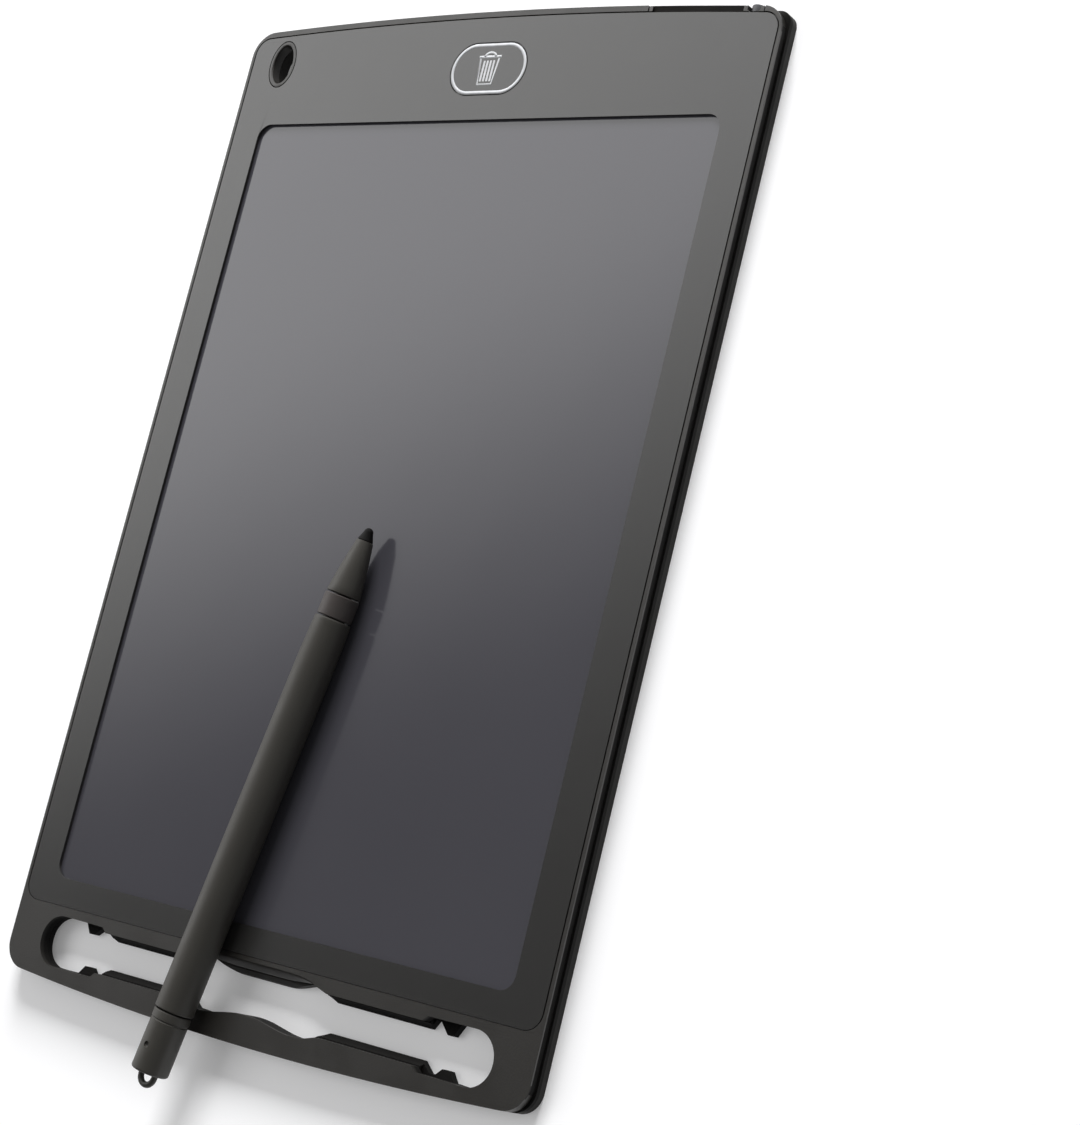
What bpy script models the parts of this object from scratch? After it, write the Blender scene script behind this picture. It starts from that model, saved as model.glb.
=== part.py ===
"""LCD writing tablet with its stylus, erase key and coin-cell tray, in metres with +Z up.

The tablet lies on its back. X runs to its right, Y to its top edge, Z out of its screen,
and the origin is the middle of the rear cover's flat face.
"""

import math

import bmesh
import bpy
from mathutils import Vector

MM = 0.001

# Window for the screen, and the borders round it
WINDOW_WIDTH = 126.0 * MM
WINDOW_HEIGHT = 175.3 * MM
WINDOW_CORNER = 3.4 * MM
SIDE_BORDER = 9.2 * MM
LOWER_BORDER = 6.0 * MM
BAY_BORDER = 1.9 * MM
BOTTOM_RAIL = 4.6 * MM

# Tablet body
TABLET_THICKNESS = 5.0 * MM
TOP_CROWN = 2.4 * MM
BOTTOM_CROWN = 2.8 * MM
CORNER_RADIUS = 5.8 * MM
CUT_OVERRUN = 1.0 * MM
WELD_DISTANCE = 0.002 * MM
CORNER_STEPS = 8
BOW_STEPS = 20
ROUND_STEPS = 32
SHARP_ANGLE = math.radians(35)

# Rear cover
REAR_TOP_CORNER = 3.0 * MM
REAR_BOTTOM_CORNER = 4.8 * MM
REAR_FLOOR = 1.0 * MM
REAR_DEPTH = 2.5 * MM
REAR_WALL = 1.6 * MM
REAR_EDGE_ROUND = 0.8 * MM
REAR_EDGE_STEPS = 3
RIB_WIDTH = 1.0 * MM
RIB_MARGIN = 6.0 * MM
LONG_RIBS = 3
CROSS_RIBS = 4
BOARD_POST_RADIUS = 1.6 * MM
BOARD_PIN_RADIUS = 0.7 * MM
BOARD_PIN_RISE = 0.4 * MM

# Front frame
SEAM_GAP = 0.1 * MM
RIM_WIDTH = 1.05 * MM
RIM_EDGE_ROUND = 0.35 * MM
SIDE_GROOVE_DEPTH = 0.5 * MM
SIDE_LIP_HEIGHT = 0.6 * MM
SIDE_GROOVE_TURN = math.radians(62)
SIDE_GROOVE_CLEAR = 0.1 * MM
SHELF_CORNER = 2.5 * MM

# Faceplate
FACEPLATE_THICKNESS = 0.6 * MM
FACEPLATE_GROOVE = 0.3 * MM
FACEPLATE_CORNER = 4.0 * MM

# Screen stack under the window
PANEL_BORDER = 2.2 * MM
PANEL_SIDE_GAP = 1.3 * MM
PANEL_THICKNESS = 0.65 * MM
PANEL_CORNER = 0.8 * MM
TAPE_THICKNESS = 0.18 * MM
TAPE_SETBACK = 0.6 * MM
TAPE_GAP = 0.06 * MM
BACKING_THICKNESS = 0.3 * MM
BACKING_SETBACK = 0.2 * MM
FLEX_ZONE = 2.9 * MM

# Pen bay across the bottom, whose ledges and teeth grip the stylus
BAY_CLEARANCE = 1.35 * MM
BAY_SIDE_MARGIN = 9.4 * MM
BAY_EDGE_ROUND = 0.6 * MM
TROUGH_CLEARANCE = 0.2 * MM
TROUGH_AXIS_DROP = 1.1 * MM
TROUGH_END_SLOPE = 1.2 * MM
LEDGE_BITE = 1.1 * MM
LEDGE_START = 19.5 * MM
LEDGE_END_MARGIN = 18.9 * MM
LEDGE_SLOPE = 3.3 * MM
LEDGE_LEAD_IN = 0.2 * MM
NOTCH_SLOPE = 1.5 * MM
NOTCH_WIDTH = 1.5 * MM
NOTCH_LEAD_IN = 0.1 * MM
TOOTH_MARGIN = 12.2 * MM
TOOTH_TIP = 0.4 * MM
TOOTH_BITE = 1.55 * MM
TOOTH_FLANK = 0.6 * MM
TOOTH_RUN = 1.5 * MM
TOOTH_THICKNESS = 1.6 * MM
TOOTH_RELIEF = 0.25 * MM
BAY_END_FLARE = 1.4 * MM
LIP_STEPS = 8
UPPER_LIP_HALF = 16.0 * MM
UPPER_LIP_FLAT_SHARE = 0.4
UPPER_LIP_BITE = 0.6 * MM
LOWER_LIP_HALF = 13.0 * MM
LOWER_LIP_REACH = 1.55 * MM
SCOOP_REACH = 0.95 * MM
SCOOP_LOW = 0.9 * MM
SCOOP_EDGE = 0.3 * MM
SCOOP_STEPS = 10

# Lanyard hole
LANYARD_FROM_SIDE = 10.4 * MM
LANYARD_FROM_TOP = 10.15 * MM
LANYARD_HOLE_WIDTH = 5.6 * MM
LANYARD_HOLE_HEIGHT = 9.2 * MM
LANYARD_WALL = 0.95 * MM
LANYARD_GAP = 0.22 * MM
LANYARD_WEB = 1.0 * MM

# Erase key
KEY_WIDTH = 20.5 * MM
KEY_HEIGHT = 11.9 * MM
KEY_FROM_TOP = 13.35 * MM
KEY_GAP = 0.2 * MM
KEY_FLANGE = 0.95 * MM
KEY_TO_BAND = 1.45 * MM
KEY_TO_PANEL = 2.85 * MM
KEY_FLANGE_THICKNESS = 0.35 * MM
KEY_BOSS_RADIUS = 1.5 * MM
KEY_BOSS_DROP = 0.3 * MM
KEY_TRAVEL = 0.3 * MM

# Circuit board and what is soldered to it
BOARD_LEFT = -30.0 * MM
BOARD_TO_TRAY = 6.2 * MM
BOARD_DEPTH = 16.0 * MM
BOARD_THICKNESS = 0.8 * MM
BOARD_LIFT = 0.5 * MM
BOARD_PIN_HOLE_RADIUS = 0.9 * MM
BOARD_PIN_INSET = 3.2 * MM
PART_GAP = 0.1 * MM
SWITCH_SIZE = 6.2 * MM
SWITCH_HEIGHT = 0.85 * MM
SWITCH_CORNER = 0.8 * MM
SWITCH_BORE_RADIUS = 1.6 * MM
SWITCH_FLOOR = 0.15 * MM
PLUNGER_RADIUS = 1.35 * MM
PLUNGER_GAP = 0.05 * MM
PLUNGER_CHAMFER = 0.2 * MM
CHIP_X = -15.0 * MM
CHIP_LENGTH = 5.0 * MM
CHIP_WIDTH = 4.0 * MM
CHIP_HEIGHT = 1.45 * MM
CHIP_LEG_WIDTH = 0.4 * MM
CHIP_LEG_REACH = 1.0 * MM
CHIP_LEG_HEIGHT = 0.45 * MM
CHIP_LEG_PITCH = 1.27 * MM
CHIP_LEGS_A_SIDE = 4
CHIP_EDGE = 0.12 * MM
CAPACITOR_LENGTH = 2.0 * MM
CAPACITOR_WIDTH = 1.3 * MM
CAPACITOR_HEIGHT = 1.0 * MM
CAPACITOR_X = 10.5 * MM
CAPACITOR_PITCH = 3.4 * MM
CAPACITOR_EDGE = 0.15 * MM
COIL_X = -23.0 * MM
COIL_RADIUS = 2.5 * MM
COIL_WAIST_RADIUS = 1.9 * MM
COIL_HEIGHT = 1.7 * MM
COIL_FLANGE = 0.4 * MM
CONNECTOR_FROM_RIGHT = 16.0 * MM
CONNECTOR_WIDTH = 8.0 * MM
CONNECTOR_DEPTH = 2.6 * MM
CONNECTOR_HEIGHT = 1.1 * MM
CONNECTOR_MOUTH = 0.4 * MM
CONNECTOR_MOUTH_DEPTH = 1.8 * MM
FLEX_WIDTH = 6.0 * MM
FLEX_THICKNESS = 0.14 * MM
FLEX_UNDER_PANEL = 2.3 * MM
FLEX_BEND = 0.5 * MM

# Battery tray, coin cell and screw
CELL_FROM_TOP = 13.4 * MM
CELL_RADIUS = 10.0 * MM
CELL_THICKNESS = 1.6 * MM
CELL_CAP_RADIUS = 8.7 * MM
CELL_CAP_STEP = 0.12 * MM
CELL_EDGE = 0.25 * MM
CELL_GROOVE = 0.5 * MM
TRAY_WALL = 0.95 * MM
TRAY_FLOOR = 0.3 * MM
TRAY_HEIGHT = 1.9 * MM
TRAY_CELL_GAP = 0.2 * MM
TRAY_HOLD = 8.1 * MM
TRAY_PUSH_HOLE_RADIUS = 3.0 * MM
TRAY_SIDE_GAP = 0.4 * MM
TRAY_HEADROOM = 0.45 * MM
CAP_OVERHANG = 0.7 * MM
CAP_INNER_FROM_TOP = 4.3 * MM
CAP_GAP = 0.3 * MM
CAP_STEP = 0.1 * MM
NAIL_SLOT_END = 0.85 * MM
NAIL_SLOT_DEPTH = 0.9 * MM
SCREW_FROM_SIDE = 7.7 * MM
SCREW_HEIGHT = 3.2 * MM
SCREW_HEAD_RADIUS = 1.4 * MM
SCREW_HEAD_LENGTH = 1.6 * MM
SCREW_SHANK_RADIUS = 0.65 * MM
SCREW_SHANK_LENGTH = 4.6 * MM
SCREW_BORE_GAP = 0.25 * MM
SCREW_NOTCH_WIDTH = 3.1 * MM
SCREW_NOTCH_DEPTH = 1.35 * MM
SCREW_NOTCH_FLOOR_GAP = 0.2 * MM
SCREW_NOTCH_CORNER = 0.7 * MM
BOSS_WIDTH = 3.6 * MM
BOSS_LENGTH = 4.7 * MM
BOSS_TO_TRAY = 0.9 * MM
TRAY_TRAVEL = 26.0 * MM

# Battery contacts
CONTACT_THICKNESS = 0.16 * MM
CONTACT_WIDTH = 3.0 * MM
CONTACT_FOOT = 3.5 * MM
CONTACT_RISER_RUN = 1.2 * MM
CONTACT_CLEARANCE = 0.3 * MM
CONTACT_DIP = 0.2 * MM
CONTACT_TIP = 1.8 * MM
BLADE_HEIGHT = 0.55 * MM
BLADE_BOW = 0.75 * MM
BLADE_REACH = 5.6 * MM

# Stylus, measured along its length from the tip of the nib
STYLUS_DIAMETER = 8.2 * MM
STYLUS_FRONT_DIAMETER = 7.7 * MM
STYLUS_BORE_DIAMETER = 5.2 * MM
STYLUS_RING_GAP = 0.3 * MM
STYLUS_EDGE = 0.35 * MM
STYLUS_FIT_GAP = 0.1 * MM
STYLUS_STEPS = 40
NIB_LENGTH = 2.9 * MM
NIB_TIP_RADIUS = 1.0 * MM
NIB_RADIUS = 1.65 * MM
NIB_SHANK_RADIUS = 1.05 * MM
NIB_SHANK_LENGTH = 6.0 * MM
NOSE_END = 15.0 * MM
NOSE_FRONT_RADIUS = 1.8 * MM
NOSE_REAR_DIAMETER = 7.2 * MM
NOSE_SPIGOT_RADIUS = 1.9 * MM
NOSE_SPIGOT_LENGTH = 4.0 * MM
COLLAR_END = 20.1 * MM
COLLAR_DIAMETER = 7.4 * MM
COLLAR_SPIGOT_LENGTH = 7.0 * MM
BARREL_END = 105.6 * MM
BARREL_SHOULDER = 12.0 * MM
TAIL_END = 118.6 * MM
TAIL_DIAMETER = 7.9 * MM
TAIL_SPIGOT_LENGTH = 7.0 * MM
TAIL_BAND = 1.9 * MM
TAIL_GROOVE_DEPTH = 0.25 * MM
TAIL_GROOVE_WIDTH = 0.5 * MM
LOOP_WIRE_RADIUS = 0.65 * MM
LOOP_RADIUS = 1.9 * MM
LOOP_STEPS = 12
DIMPLE_AT = 113.1 * MM
DIMPLE_RADIUS = 0.65 * MM
DIMPLE_DEPTH = 0.5 * MM
STYLUS_TIP_X = 2.8 * MM
STYLUS_OVERHANG = 9.7 * MM
STYLUS_TURN = math.radians(9.4)
STYLUS_REST_GAP = 0.15 * MM

# Levels and places that follow from the sizes above
BAY_WIDTH = STYLUS_DIAMETER + 2 * BAY_CLEARANCE
TROUGH_GAP = STYLUS_DIAMETER + 2 * TROUGH_CLEARANCE
LEDGE_GAP = STYLUS_DIAMETER - 2 * LEDGE_BITE
TOOTH_GAP = STYLUS_DIAMETER - 2 * TOOTH_BITE
KEY_FROM_BAND = KEY_HEIGHT / 2 + KEY_FLANGE
TOP_BAND = KEY_FROM_TOP - KEY_FROM_BAND - KEY_TO_BAND
TOP_BORDER = KEY_FROM_TOP + KEY_FROM_BAND + KEY_TO_PANEL + PANEL_BORDER
BOTTOM_BORDER = LOWER_BORDER + BAY_BORDER + BAY_WIDTH + BOTTOM_RAIL
TABLET_WIDTH = WINDOW_WIDTH + 2 * SIDE_BORDER
TABLET_HEIGHT = TOP_BORDER + WINDOW_HEIGHT + BOTTOM_BORDER
HALF_WIDTH = TABLET_WIDTH / 2
TOP = TABLET_HEIGHT / 2
BOTTOM = -TABLET_HEIGHT / 2
FRONT = TABLET_THICKNESS
SHELF_WIDTH = SIDE_BORDER - RIM_WIDTH - PANEL_BORDER - PANEL_SIDE_GAP
BAY_LENGTH = TABLET_WIDTH - 2 * BAY_SIDE_MARGIN
LEDGE_END = BAY_LENGTH / 2 - LEDGE_END_MARGIN
TOOTH_CENTRE = BAY_LENGTH / 2 - TOOTH_MARGIN
FRAME_LOW = REAR_DEPTH + SEAM_GAP
FACEPLATE_LOW = FRONT - FACEPLATE_THICKNESS
SHELF_TOP = FACEPLATE_LOW - SEAM_GAP
PANEL_TOP = FACEPLATE_LOW - TAPE_THICKNESS - 2 * TAPE_GAP
PANEL_LOW = PANEL_TOP - PANEL_THICKNESS
BACKING_TOP = PANEL_LOW - PART_GAP
BACKING_LOW = BACKING_TOP - BACKING_THICKNESS
RIB_TOP = BACKING_LOW - SEAM_GAP
WINDOW_TOP = TOP - TOP_BORDER
WINDOW_BOTTOM = WINDOW_TOP - WINDOW_HEIGHT
FACEPLATE_BOTTOM = WINDOW_BOTTOM - LOWER_BORDER
BAY_Y = BOTTOM + BOTTOM_RAIL + BAY_WIDTH / 2
KEY_Y = TOP - KEY_FROM_TOP
LANYARD_X = LANYARD_FROM_SIDE - HALF_WIDTH
LANYARD_Y = TOP - LANYARD_FROM_TOP
TRAY_WIDTH = 2 * (CELL_RADIUS + TRAY_CELL_GAP + TRAY_WALL)
SCREW_X = HALF_WIDTH - SCREW_FROM_SIDE
CELL_X = SCREW_X - BOSS_WIDTH / 2 - BOSS_TO_TRAY - TRAY_WIDTH / 2
CELL_Y = TOP - CELL_FROM_TOP
CAP_INNER = TOP - CAP_INNER_FROM_TOP
CAP_LEFT = CELL_X - TRAY_WIDTH / 2 - CAP_OVERHANG
CAP_RIGHT = SCREW_X + SCREW_NOTCH_WIDTH / 2 + NAIL_SLOT_END
BOARD_RIGHT = CELL_X - TRAY_WIDTH / 2 - BOARD_TO_TRAY
CONNECTOR_X = BOARD_RIGHT - CONNECTOR_FROM_RIGHT
BOARD_LOW = REAR_FLOOR + BOARD_LIFT
BOARD_TOP = BOARD_LOW + BOARD_THICKNESS
SOLDER_LEVEL = BOARD_TOP + PART_GAP
BOARD_Y = KEY_Y
BOARD_FRONT_EDGE = BOARD_Y - BOARD_DEPTH / 2
TRAY_LOW = REAR_FLOOR + SEAM_GAP
CELL_LOW = TRAY_LOW + TRAY_FLOOR + SEAM_GAP
CELL_TOP = CELL_LOW + CELL_THICKNESS
TRAY_TOP = TRAY_LOW + TRAY_HEIGHT


def bow_radius(crown):
    """Radius of an edge that rises by the crown over the tablet's half width."""
    return (HALF_WIDTH**2 + crown**2) / (2 * crown)


TOP_BOW = bow_radius(TOP_CROWN)
BOTTOM_BOW = bow_radius(BOTTOM_CROWN)


def arc(centre, radius, start, end, steps):
    """Points of an arc between two angles, both ends included."""
    turns = [start + (end - start) * step / steps for step in range(steps + 1)]
    return [(centre[0] + radius * math.cos(a), centre[1] + radius * math.sin(a)) for a in turns]


def corner_of(half_width, edge, bow, radius):
    """Height of a corner's centre, and the angle at which the corner meets the bowed edge."""
    if not bow:
        return edge - radius, math.pi / 2
    run = half_width - radius
    rise = math.sqrt((bow - radius) ** 2 - run**2)
    return edge - bow + rise, math.atan2(rise, run)


def edge_run(half_width, edge, bow, radius):
    """The upper half of an outline, from its right side over the top to its left side."""
    height, meet = corner_of(half_width, edge, bow, radius)
    run = half_width - radius
    points = arc((run, height), radius, 0, meet, CORNER_STEPS)
    if bow:
        points += arc((0, edge - bow), bow, meet, math.pi - meet, BOW_STEPS)[1:-1]
    points += arc((-run, height), radius, math.pi - meet, math.pi, CORNER_STEPS)
    return points


def outline(half_width, top, bottom, radius, top_bow=0, bottom_bow=0, low_radius=0):
    """A rectangle with round corners whose top and bottom edges may be bowed, anticlockwise."""
    upper = edge_run(half_width, top, top_bow, radius)
    lower = edge_run(half_width, -bottom, bottom_bow, low_radius or radius)
    return upper + [(-x, -y) for x, y in lower]


def tablet_outline(top_corner, bottom_corner):
    """The tablet's own outline."""
    return outline(HALF_WIDTH, TOP, BOTTOM, top_corner, TOP_BOW, BOTTOM_BOW, bottom_corner)


def groove_corner(height, bottom):
    """A side groove's inner and outer points round a corner, where the groove runs out."""
    inner = []
    outer = []
    for step in range(CORNER_STEPS + 1):
        turn = SIDE_GROOVE_TURN * step / CORNER_STEPS
        depth = (SIDE_GROOVE_DEPTH + SIDE_GROOVE_CLEAR) * math.cos(math.pi / 2 * step / CORNER_STEPS)
        for points, radius in (
            (inner, CORNER_RADIUS + SIDE_GROOVE_CLEAR - depth),
            (outer, CORNER_RADIUS + CUT_OVERRUN),
        ):
            x = HALF_WIDTH - CORNER_RADIUS + radius * math.cos(turn)
            points.append((x, (height + radius * math.sin(turn)) * (-1 if bottom else 1)))
    return inner, outer


def side_groove():
    """The outline of the groove along the right side."""
    top_height, _ = corner_of(HALF_WIDTH, TOP, TOP_BOW, CORNER_RADIUS)
    bottom_height, _ = corner_of(HALF_WIDTH, -BOTTOM, BOTTOM_BOW, CORNER_RADIUS)
    top_inner, top_outer = groove_corner(top_height, False)
    bottom_inner, bottom_outer = groove_corner(bottom_height, True)
    return bottom_inner[::-1] + top_inner + top_outer[::-1] + bottom_outer


def plate_outline(inset):
    """The outline of the faceplate's recess, moved inwards from the rim's inner edge."""
    return outline(
        HALF_WIDTH - RIM_WIDTH - inset,
        TOP - RIM_WIDTH - inset,
        FACEPLATE_BOTTOM + inset,
        FACEPLATE_CORNER - inset,
        TOP_BOW - RIM_WIDTH - inset,
    )


def top_edge(x):
    """Height of the tablet's top edge at x."""
    height, _ = corner_of(HALF_WIDTH, TOP, TOP_BOW, CORNER_RADIUS)
    run = HALF_WIDTH - CORNER_RADIUS
    if abs(x) > run:
        return height + math.sqrt(CORNER_RADIUS**2 - (abs(x) - run) ** 2)
    return TOP - TOP_BOW + math.sqrt(TOP_BOW**2 - x**2)


def moved(points, x, y):
    return [(px + x, py + y) for px, py in points]


def box_outline(left, right, low, high):
    return [(left, low), (right, low), (right, high), (left, high)]


def stadium(width, height):
    """A stadium about the origin, with round ends left and right."""
    radius = height / 2
    run = width / 2 - radius
    right = arc((run, 0), radius, -math.pi / 2, math.pi / 2, 2 * CORNER_STEPS)
    left = arc((-run, 0), radius, math.pi / 2, 1.5 * math.pi, 2 * CORNER_STEPS)
    return right + left


def oval(width, height):
    """An oval about the origin."""
    turns = [2 * math.pi * step / ROUND_STEPS for step in range(ROUND_STEPS)]
    return [(width / 2 * math.cos(a), height / 2 * math.sin(a)) for a in turns]


def bay_side(run_gap, toothed, lip_half, lip_reach, flat_share=0):
    """Half of one side of the pen bay, as (distance from the middle, distance from the centre line).

    Its lip is flat over the middle share of its half width, and falls smoothly from there.
    """
    half = BAY_WIDTH / 2
    notch = LEDGE_END + NOTCH_SLOPE
    side = []
    for step in range(LIP_STEPS):
        share = step / LIP_STEPS
        swell = math.cos(math.pi / 2 * share) ** 2
        side.append((lip_half * (flat_share + (1 - flat_share) * share), half - lip_reach * swell))
    side.append((LEDGE_START - LEDGE_SLOPE, half - LEDGE_LEAD_IN))
    side.append((LEDGE_START, run_gap / 2))
    if not toothed:
        side.append((notch - TROUGH_END_SLOPE, run_gap / 2))
        side.append((notch, half - NOTCH_LEAD_IN))
        return side
    side.append((LEDGE_END, run_gap / 2))
    side.append((notch, half - TOOTH_FLANK))
    side.append((notch + NOTCH_WIDTH, half - TOOTH_FLANK))
    side.append((TOOTH_CENTRE - TOOTH_TIP / 2, TOOTH_GAP / 2))
    side.append((TOOTH_CENTRE + TOOTH_TIP / 2, TOOTH_GAP / 2))
    side.append((TOOTH_CENTRE + TOOTH_TIP / 2 + TOOTH_RUN, half))
    return side


def bay_outline(upper, lower):
    """The pen bay's closed outline from its two sides, alike left and right, with round ends."""
    half = BAY_WIDTH / 2
    bulb = BAY_LENGTH / 2 - half
    points = [(x, -gap) for x, gap in lower]
    points += arc((bulb, 0), half, -math.pi / 2, math.pi / 2, 2 * CORNER_STEPS)
    points += [(x, gap) for x, gap in reversed(upper)]
    points += [(-x, gap) for x, gap in upper if x]
    points += arc((-bulb, 0), half, math.pi / 2, 1.5 * math.pi, 2 * CORNER_STEPS)
    points += [(-x, -gap) for x, gap in reversed(lower) if x]
    return moved(points, 0, BAY_Y)


for old in list(bpy.data.objects):
    bpy.data.objects.remove(old, do_unlink=True)

parts = bpy.data.collections.new("lcd_writing_tablet")
helpers = bpy.data.collections.new("cutters")
bpy.context.scene.collection.children.link(parts)
bpy.context.scene.collection.children.link(helpers)


def material(name, colour, roughness, metallic=0.0):
    made = bpy.data.materials.new(name)
    made.use_nodes = True
    shader = made.node_tree.nodes["Principled BSDF"]
    shader.inputs["Base Color"].default_value = (*colour, 1)
    shader.inputs["Roughness"].default_value = roughness
    shader.inputs["Metallic"].default_value = metallic
    return made


def add(name, mesh, where, look=None):
    """Links a mesh as a part, or as a helper that shapes one."""
    made = bpy.data.objects.new(name, mesh)
    where.objects.link(made)
    if look:
        mesh.materials.append(look)
    if where == helpers:
        made.hide_render = True
        made.display_type = "WIRE"
    return made


def prism(name, loops, low, high, where=helpers, look=None):
    """A flat piece between two heights, from an outline and any holes in it."""
    curve = bpy.data.curves.new(name, "CURVE")
    curve.dimensions = "2D"
    curve.fill_mode = "BOTH"
    curve.extrude = (high - low) / 2
    for points in loops:
        spline = curve.splines.new("POLY")
        spline.points.add(len(points) - 1)
        for place, (x, y) in zip(spline.points, points):
            place.co = (x, y, 0, 1)
        spline.use_cyclic_u = True
    shape = bpy.data.objects.new(name, curve)
    helpers.objects.link(shape)
    graph = bpy.context.evaluated_depsgraph_get()
    mesh = bpy.data.meshes.new_from_object(shape.evaluated_get(graph))
    bpy.data.objects.remove(shape)
    bpy.data.curves.remove(curve)
    work = bmesh.new()
    work.from_mesh(mesh)
    bmesh.ops.remove_doubles(work, verts=work.verts, dist=WELD_DISTANCE)
    work.to_mesh(mesh)
    work.free()
    made = add(name, mesh, where, look)
    made.location.z = (low + high) / 2
    return made


def block(name, left, right, low_y, high_y, low, high):
    return prism(name, [box_outline(left, right, low_y, high_y)], low, high)


def turned(name, profile, where=helpers, look=None, steps=ROUND_STEPS):
    """A solid of revolution about its own Z axis: (radius, height) points, top to bottom."""
    mesh = bpy.data.meshes.new(name)
    points = [(radius, 0, height) for radius, height in profile]
    mesh.from_pydata(points, [(i, i + 1) for i in range(len(points) - 1)], [])
    made = add(name, mesh, where, look)
    screw = made.modifiers.new("Turn", "SCREW")
    screw.steps = steps
    screw.render_steps = steps
    screw.use_merge_vertices = True
    screw.merge_threshold = WELD_DISTANCE
    return made


def rod(name, radius, length):
    """A plain cylinder on the XY plane, rising along its own Z axis."""
    mesh = bpy.data.meshes.new(name)
    work = bmesh.new()
    bmesh.ops.create_cone(
        work,
        cap_ends=True,
        segments=ROUND_STEPS,
        radius1=radius,
        radius2=radius,
        depth=length,
    )
    bmesh.ops.translate(work, verts=work.verts, vec=(0, 0, length / 2))
    work.to_mesh(mesh)
    work.free()
    return add(name, mesh, helpers)


def change(target, operation, others):
    for other in others:
        modifier = target.modifiers.new(other.name, "BOOLEAN")
        modifier.operation = operation
        modifier.object = other
        modifier.solver = "EXACT"


def cut(target, *others):
    change(target, "DIFFERENCE", others)


def join(target, *others):
    change(target, "UNION", others)


def round_edges(target, width, steps, weight_of):
    """Bevels the sharp edges to which weight_of gives a weight, from the edge's two corners."""
    work = bmesh.new()
    work.from_mesh(target.data)
    layer = work.edges.layers.float.new("bevel_weight_edge")
    for edge in work.edges:
        if edge.calc_face_angle(0) > SHARP_ANGLE:
            edge[layer] = weight_of(*[corner.co for corner in edge.verts])
    work.to_mesh(target.data)
    work.free()
    bevel = target.modifiers.new("Round", "BEVEL")
    bevel.limit_method = "WEIGHT"
    bevel.width = width
    bevel.segments = steps


def soften(target, width, steps=1):
    """Bevels every sharp edge of a simple piece."""
    bevel = target.modifiers.new("Edge", "BEVEL")
    bevel.width = width
    bevel.segments = steps


def smooth(target):
    target.data.shade_smooth()
    target.data.set_sharp_from_angle(angle=SHARP_ANGLE)


def frame_at(name, location, turn=(0, 0, 0)):
    """An empty that carries the pieces of one moving body."""
    made = bpy.data.objects.new(name, None)
    parts.objects.link(made)
    made.location = location
    made.rotation_euler = turn
    return made


def carry(holder, *pieces):
    """Hangs pieces on an empty, and leaves them where they are."""
    bpy.context.view_layer.update()
    for piece in pieces:
        piece.parent = holder
        piece.matrix_parent_inverse = holder.matrix_world.inverted()


SHELL_PLASTIC = material("charcoal_abs", (0.045, 0.044, 0.042), 0.5)
FACE_PLASTIC = material("graphite_faceplate", (0.075, 0.075, 0.076), 0.5)
SCREEN_GLASS = material("dark_screen", (0.06, 0.06, 0.066), 0.18)
BACKING_FILM = material("black_backing", (0.01, 0.01, 0.01), 0.7)
TAPE = material("black_tape", (0.02, 0.02, 0.02), 0.8)
BOARD_MASK = material("green_board", (0.02, 0.13, 0.05), 0.35)
SWITCH_PLASTIC = material("black_switch", (0.03, 0.03, 0.03), 0.5)
PLUNGER_PLASTIC = material("white_plunger", (0.75, 0.74, 0.7), 0.4)
CHIP_RESIN = material("black_chip", (0.02, 0.02, 0.022), 0.45)
CERAMIC = material("tan_ceramic", (0.5, 0.36, 0.22), 0.4)
FERRITE = material("grey_ferrite", (0.08, 0.08, 0.085), 0.5)
CONNECTOR_PLASTIC = material("ivory_connector", (0.7, 0.66, 0.55), 0.45)
FLEX_FILM = material("amber_film", (0.45, 0.2, 0.04), 0.35)
SPRING_STEEL = material("nickelled_spring", (0.65, 0.62, 0.55), 0.3, 1.0)
CELL_STEEL = material("bright_can", (0.72, 0.72, 0.72), 0.25, 1.0)
SCREW_STEEL = material("grey_steel", (0.45, 0.45, 0.46), 0.35, 1.0)
PEN_PLASTIC = material("charcoal_stylus", (0.05, 0.049, 0.046), 0.55)
NIB_PLASTIC = material("black_nib", (0.015, 0.015, 0.015), 0.4)


def lanyard_oval(wall, x=LANYARD_X, y=LANYARD_Y):
    """The lanyard hole's outline with a wall around it."""
    return moved(oval(LANYARD_HOLE_WIDTH + 2 * wall, LANYARD_HOLE_HEIGHT + 2 * wall), x, y)


def cap_room(low):
    """The space in the tablet's top edge that the battery tray's end cap takes, with its gap."""
    room = box_outline(CAP_LEFT - CAP_GAP, CAP_RIGHT + CAP_GAP, CAP_INNER - CAP_GAP, TOP + CUT_OVERRUN)
    return prism("cap_room", [room], low, FRONT + CUT_OVERRUN)


def thumb_scoop():
    """A shallow round cutter that slopes from the rear lip of the pen bay up to the faceplate."""
    run = scoop_run()
    slope = math.atan2(FRONT - SCOOP_LOW, run)
    depth = SCOOP_REACH * math.sin(slope)
    radius = (UPPER_LIP_HALF**2 + depth**2) / (2 * depth)
    half_turn = math.asin(UPPER_LIP_HALF / radius)
    middle = math.pi * 1.5
    bowl = arc((0, radius), radius, middle - half_turn, middle + half_turn, SCOOP_STEPS)
    reach = BAY_WIDTH / 2
    loop = bowl + [(UPPER_LIP_HALF, reach), (-UPPER_LIP_HALF, reach)]
    scoop = prism("thumb_scoop", [loop], -FRONT - CUT_OVERRUN, FRONT + CUT_OVERRUN)
    scoop.rotation_euler = (math.pi / 2 + slope, 0, 0)
    scoop.location = (0, BAY_Y + upper_lip_gap() + run / 2, (FRONT + SCOOP_LOW) / 2)
    return scoop


def scoop_run():
    """How far the thumb scoop runs across the pen bay's upper side."""
    return BAY_WIDTH / 2 + SCOOP_REACH - upper_lip_gap()


def upper_lip_gap():
    """How far the upper lip's edge stays from the pen bay's centre line, at its middle."""
    return STYLUS_DIAMETER / 2 - UPPER_LIP_BITE


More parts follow.
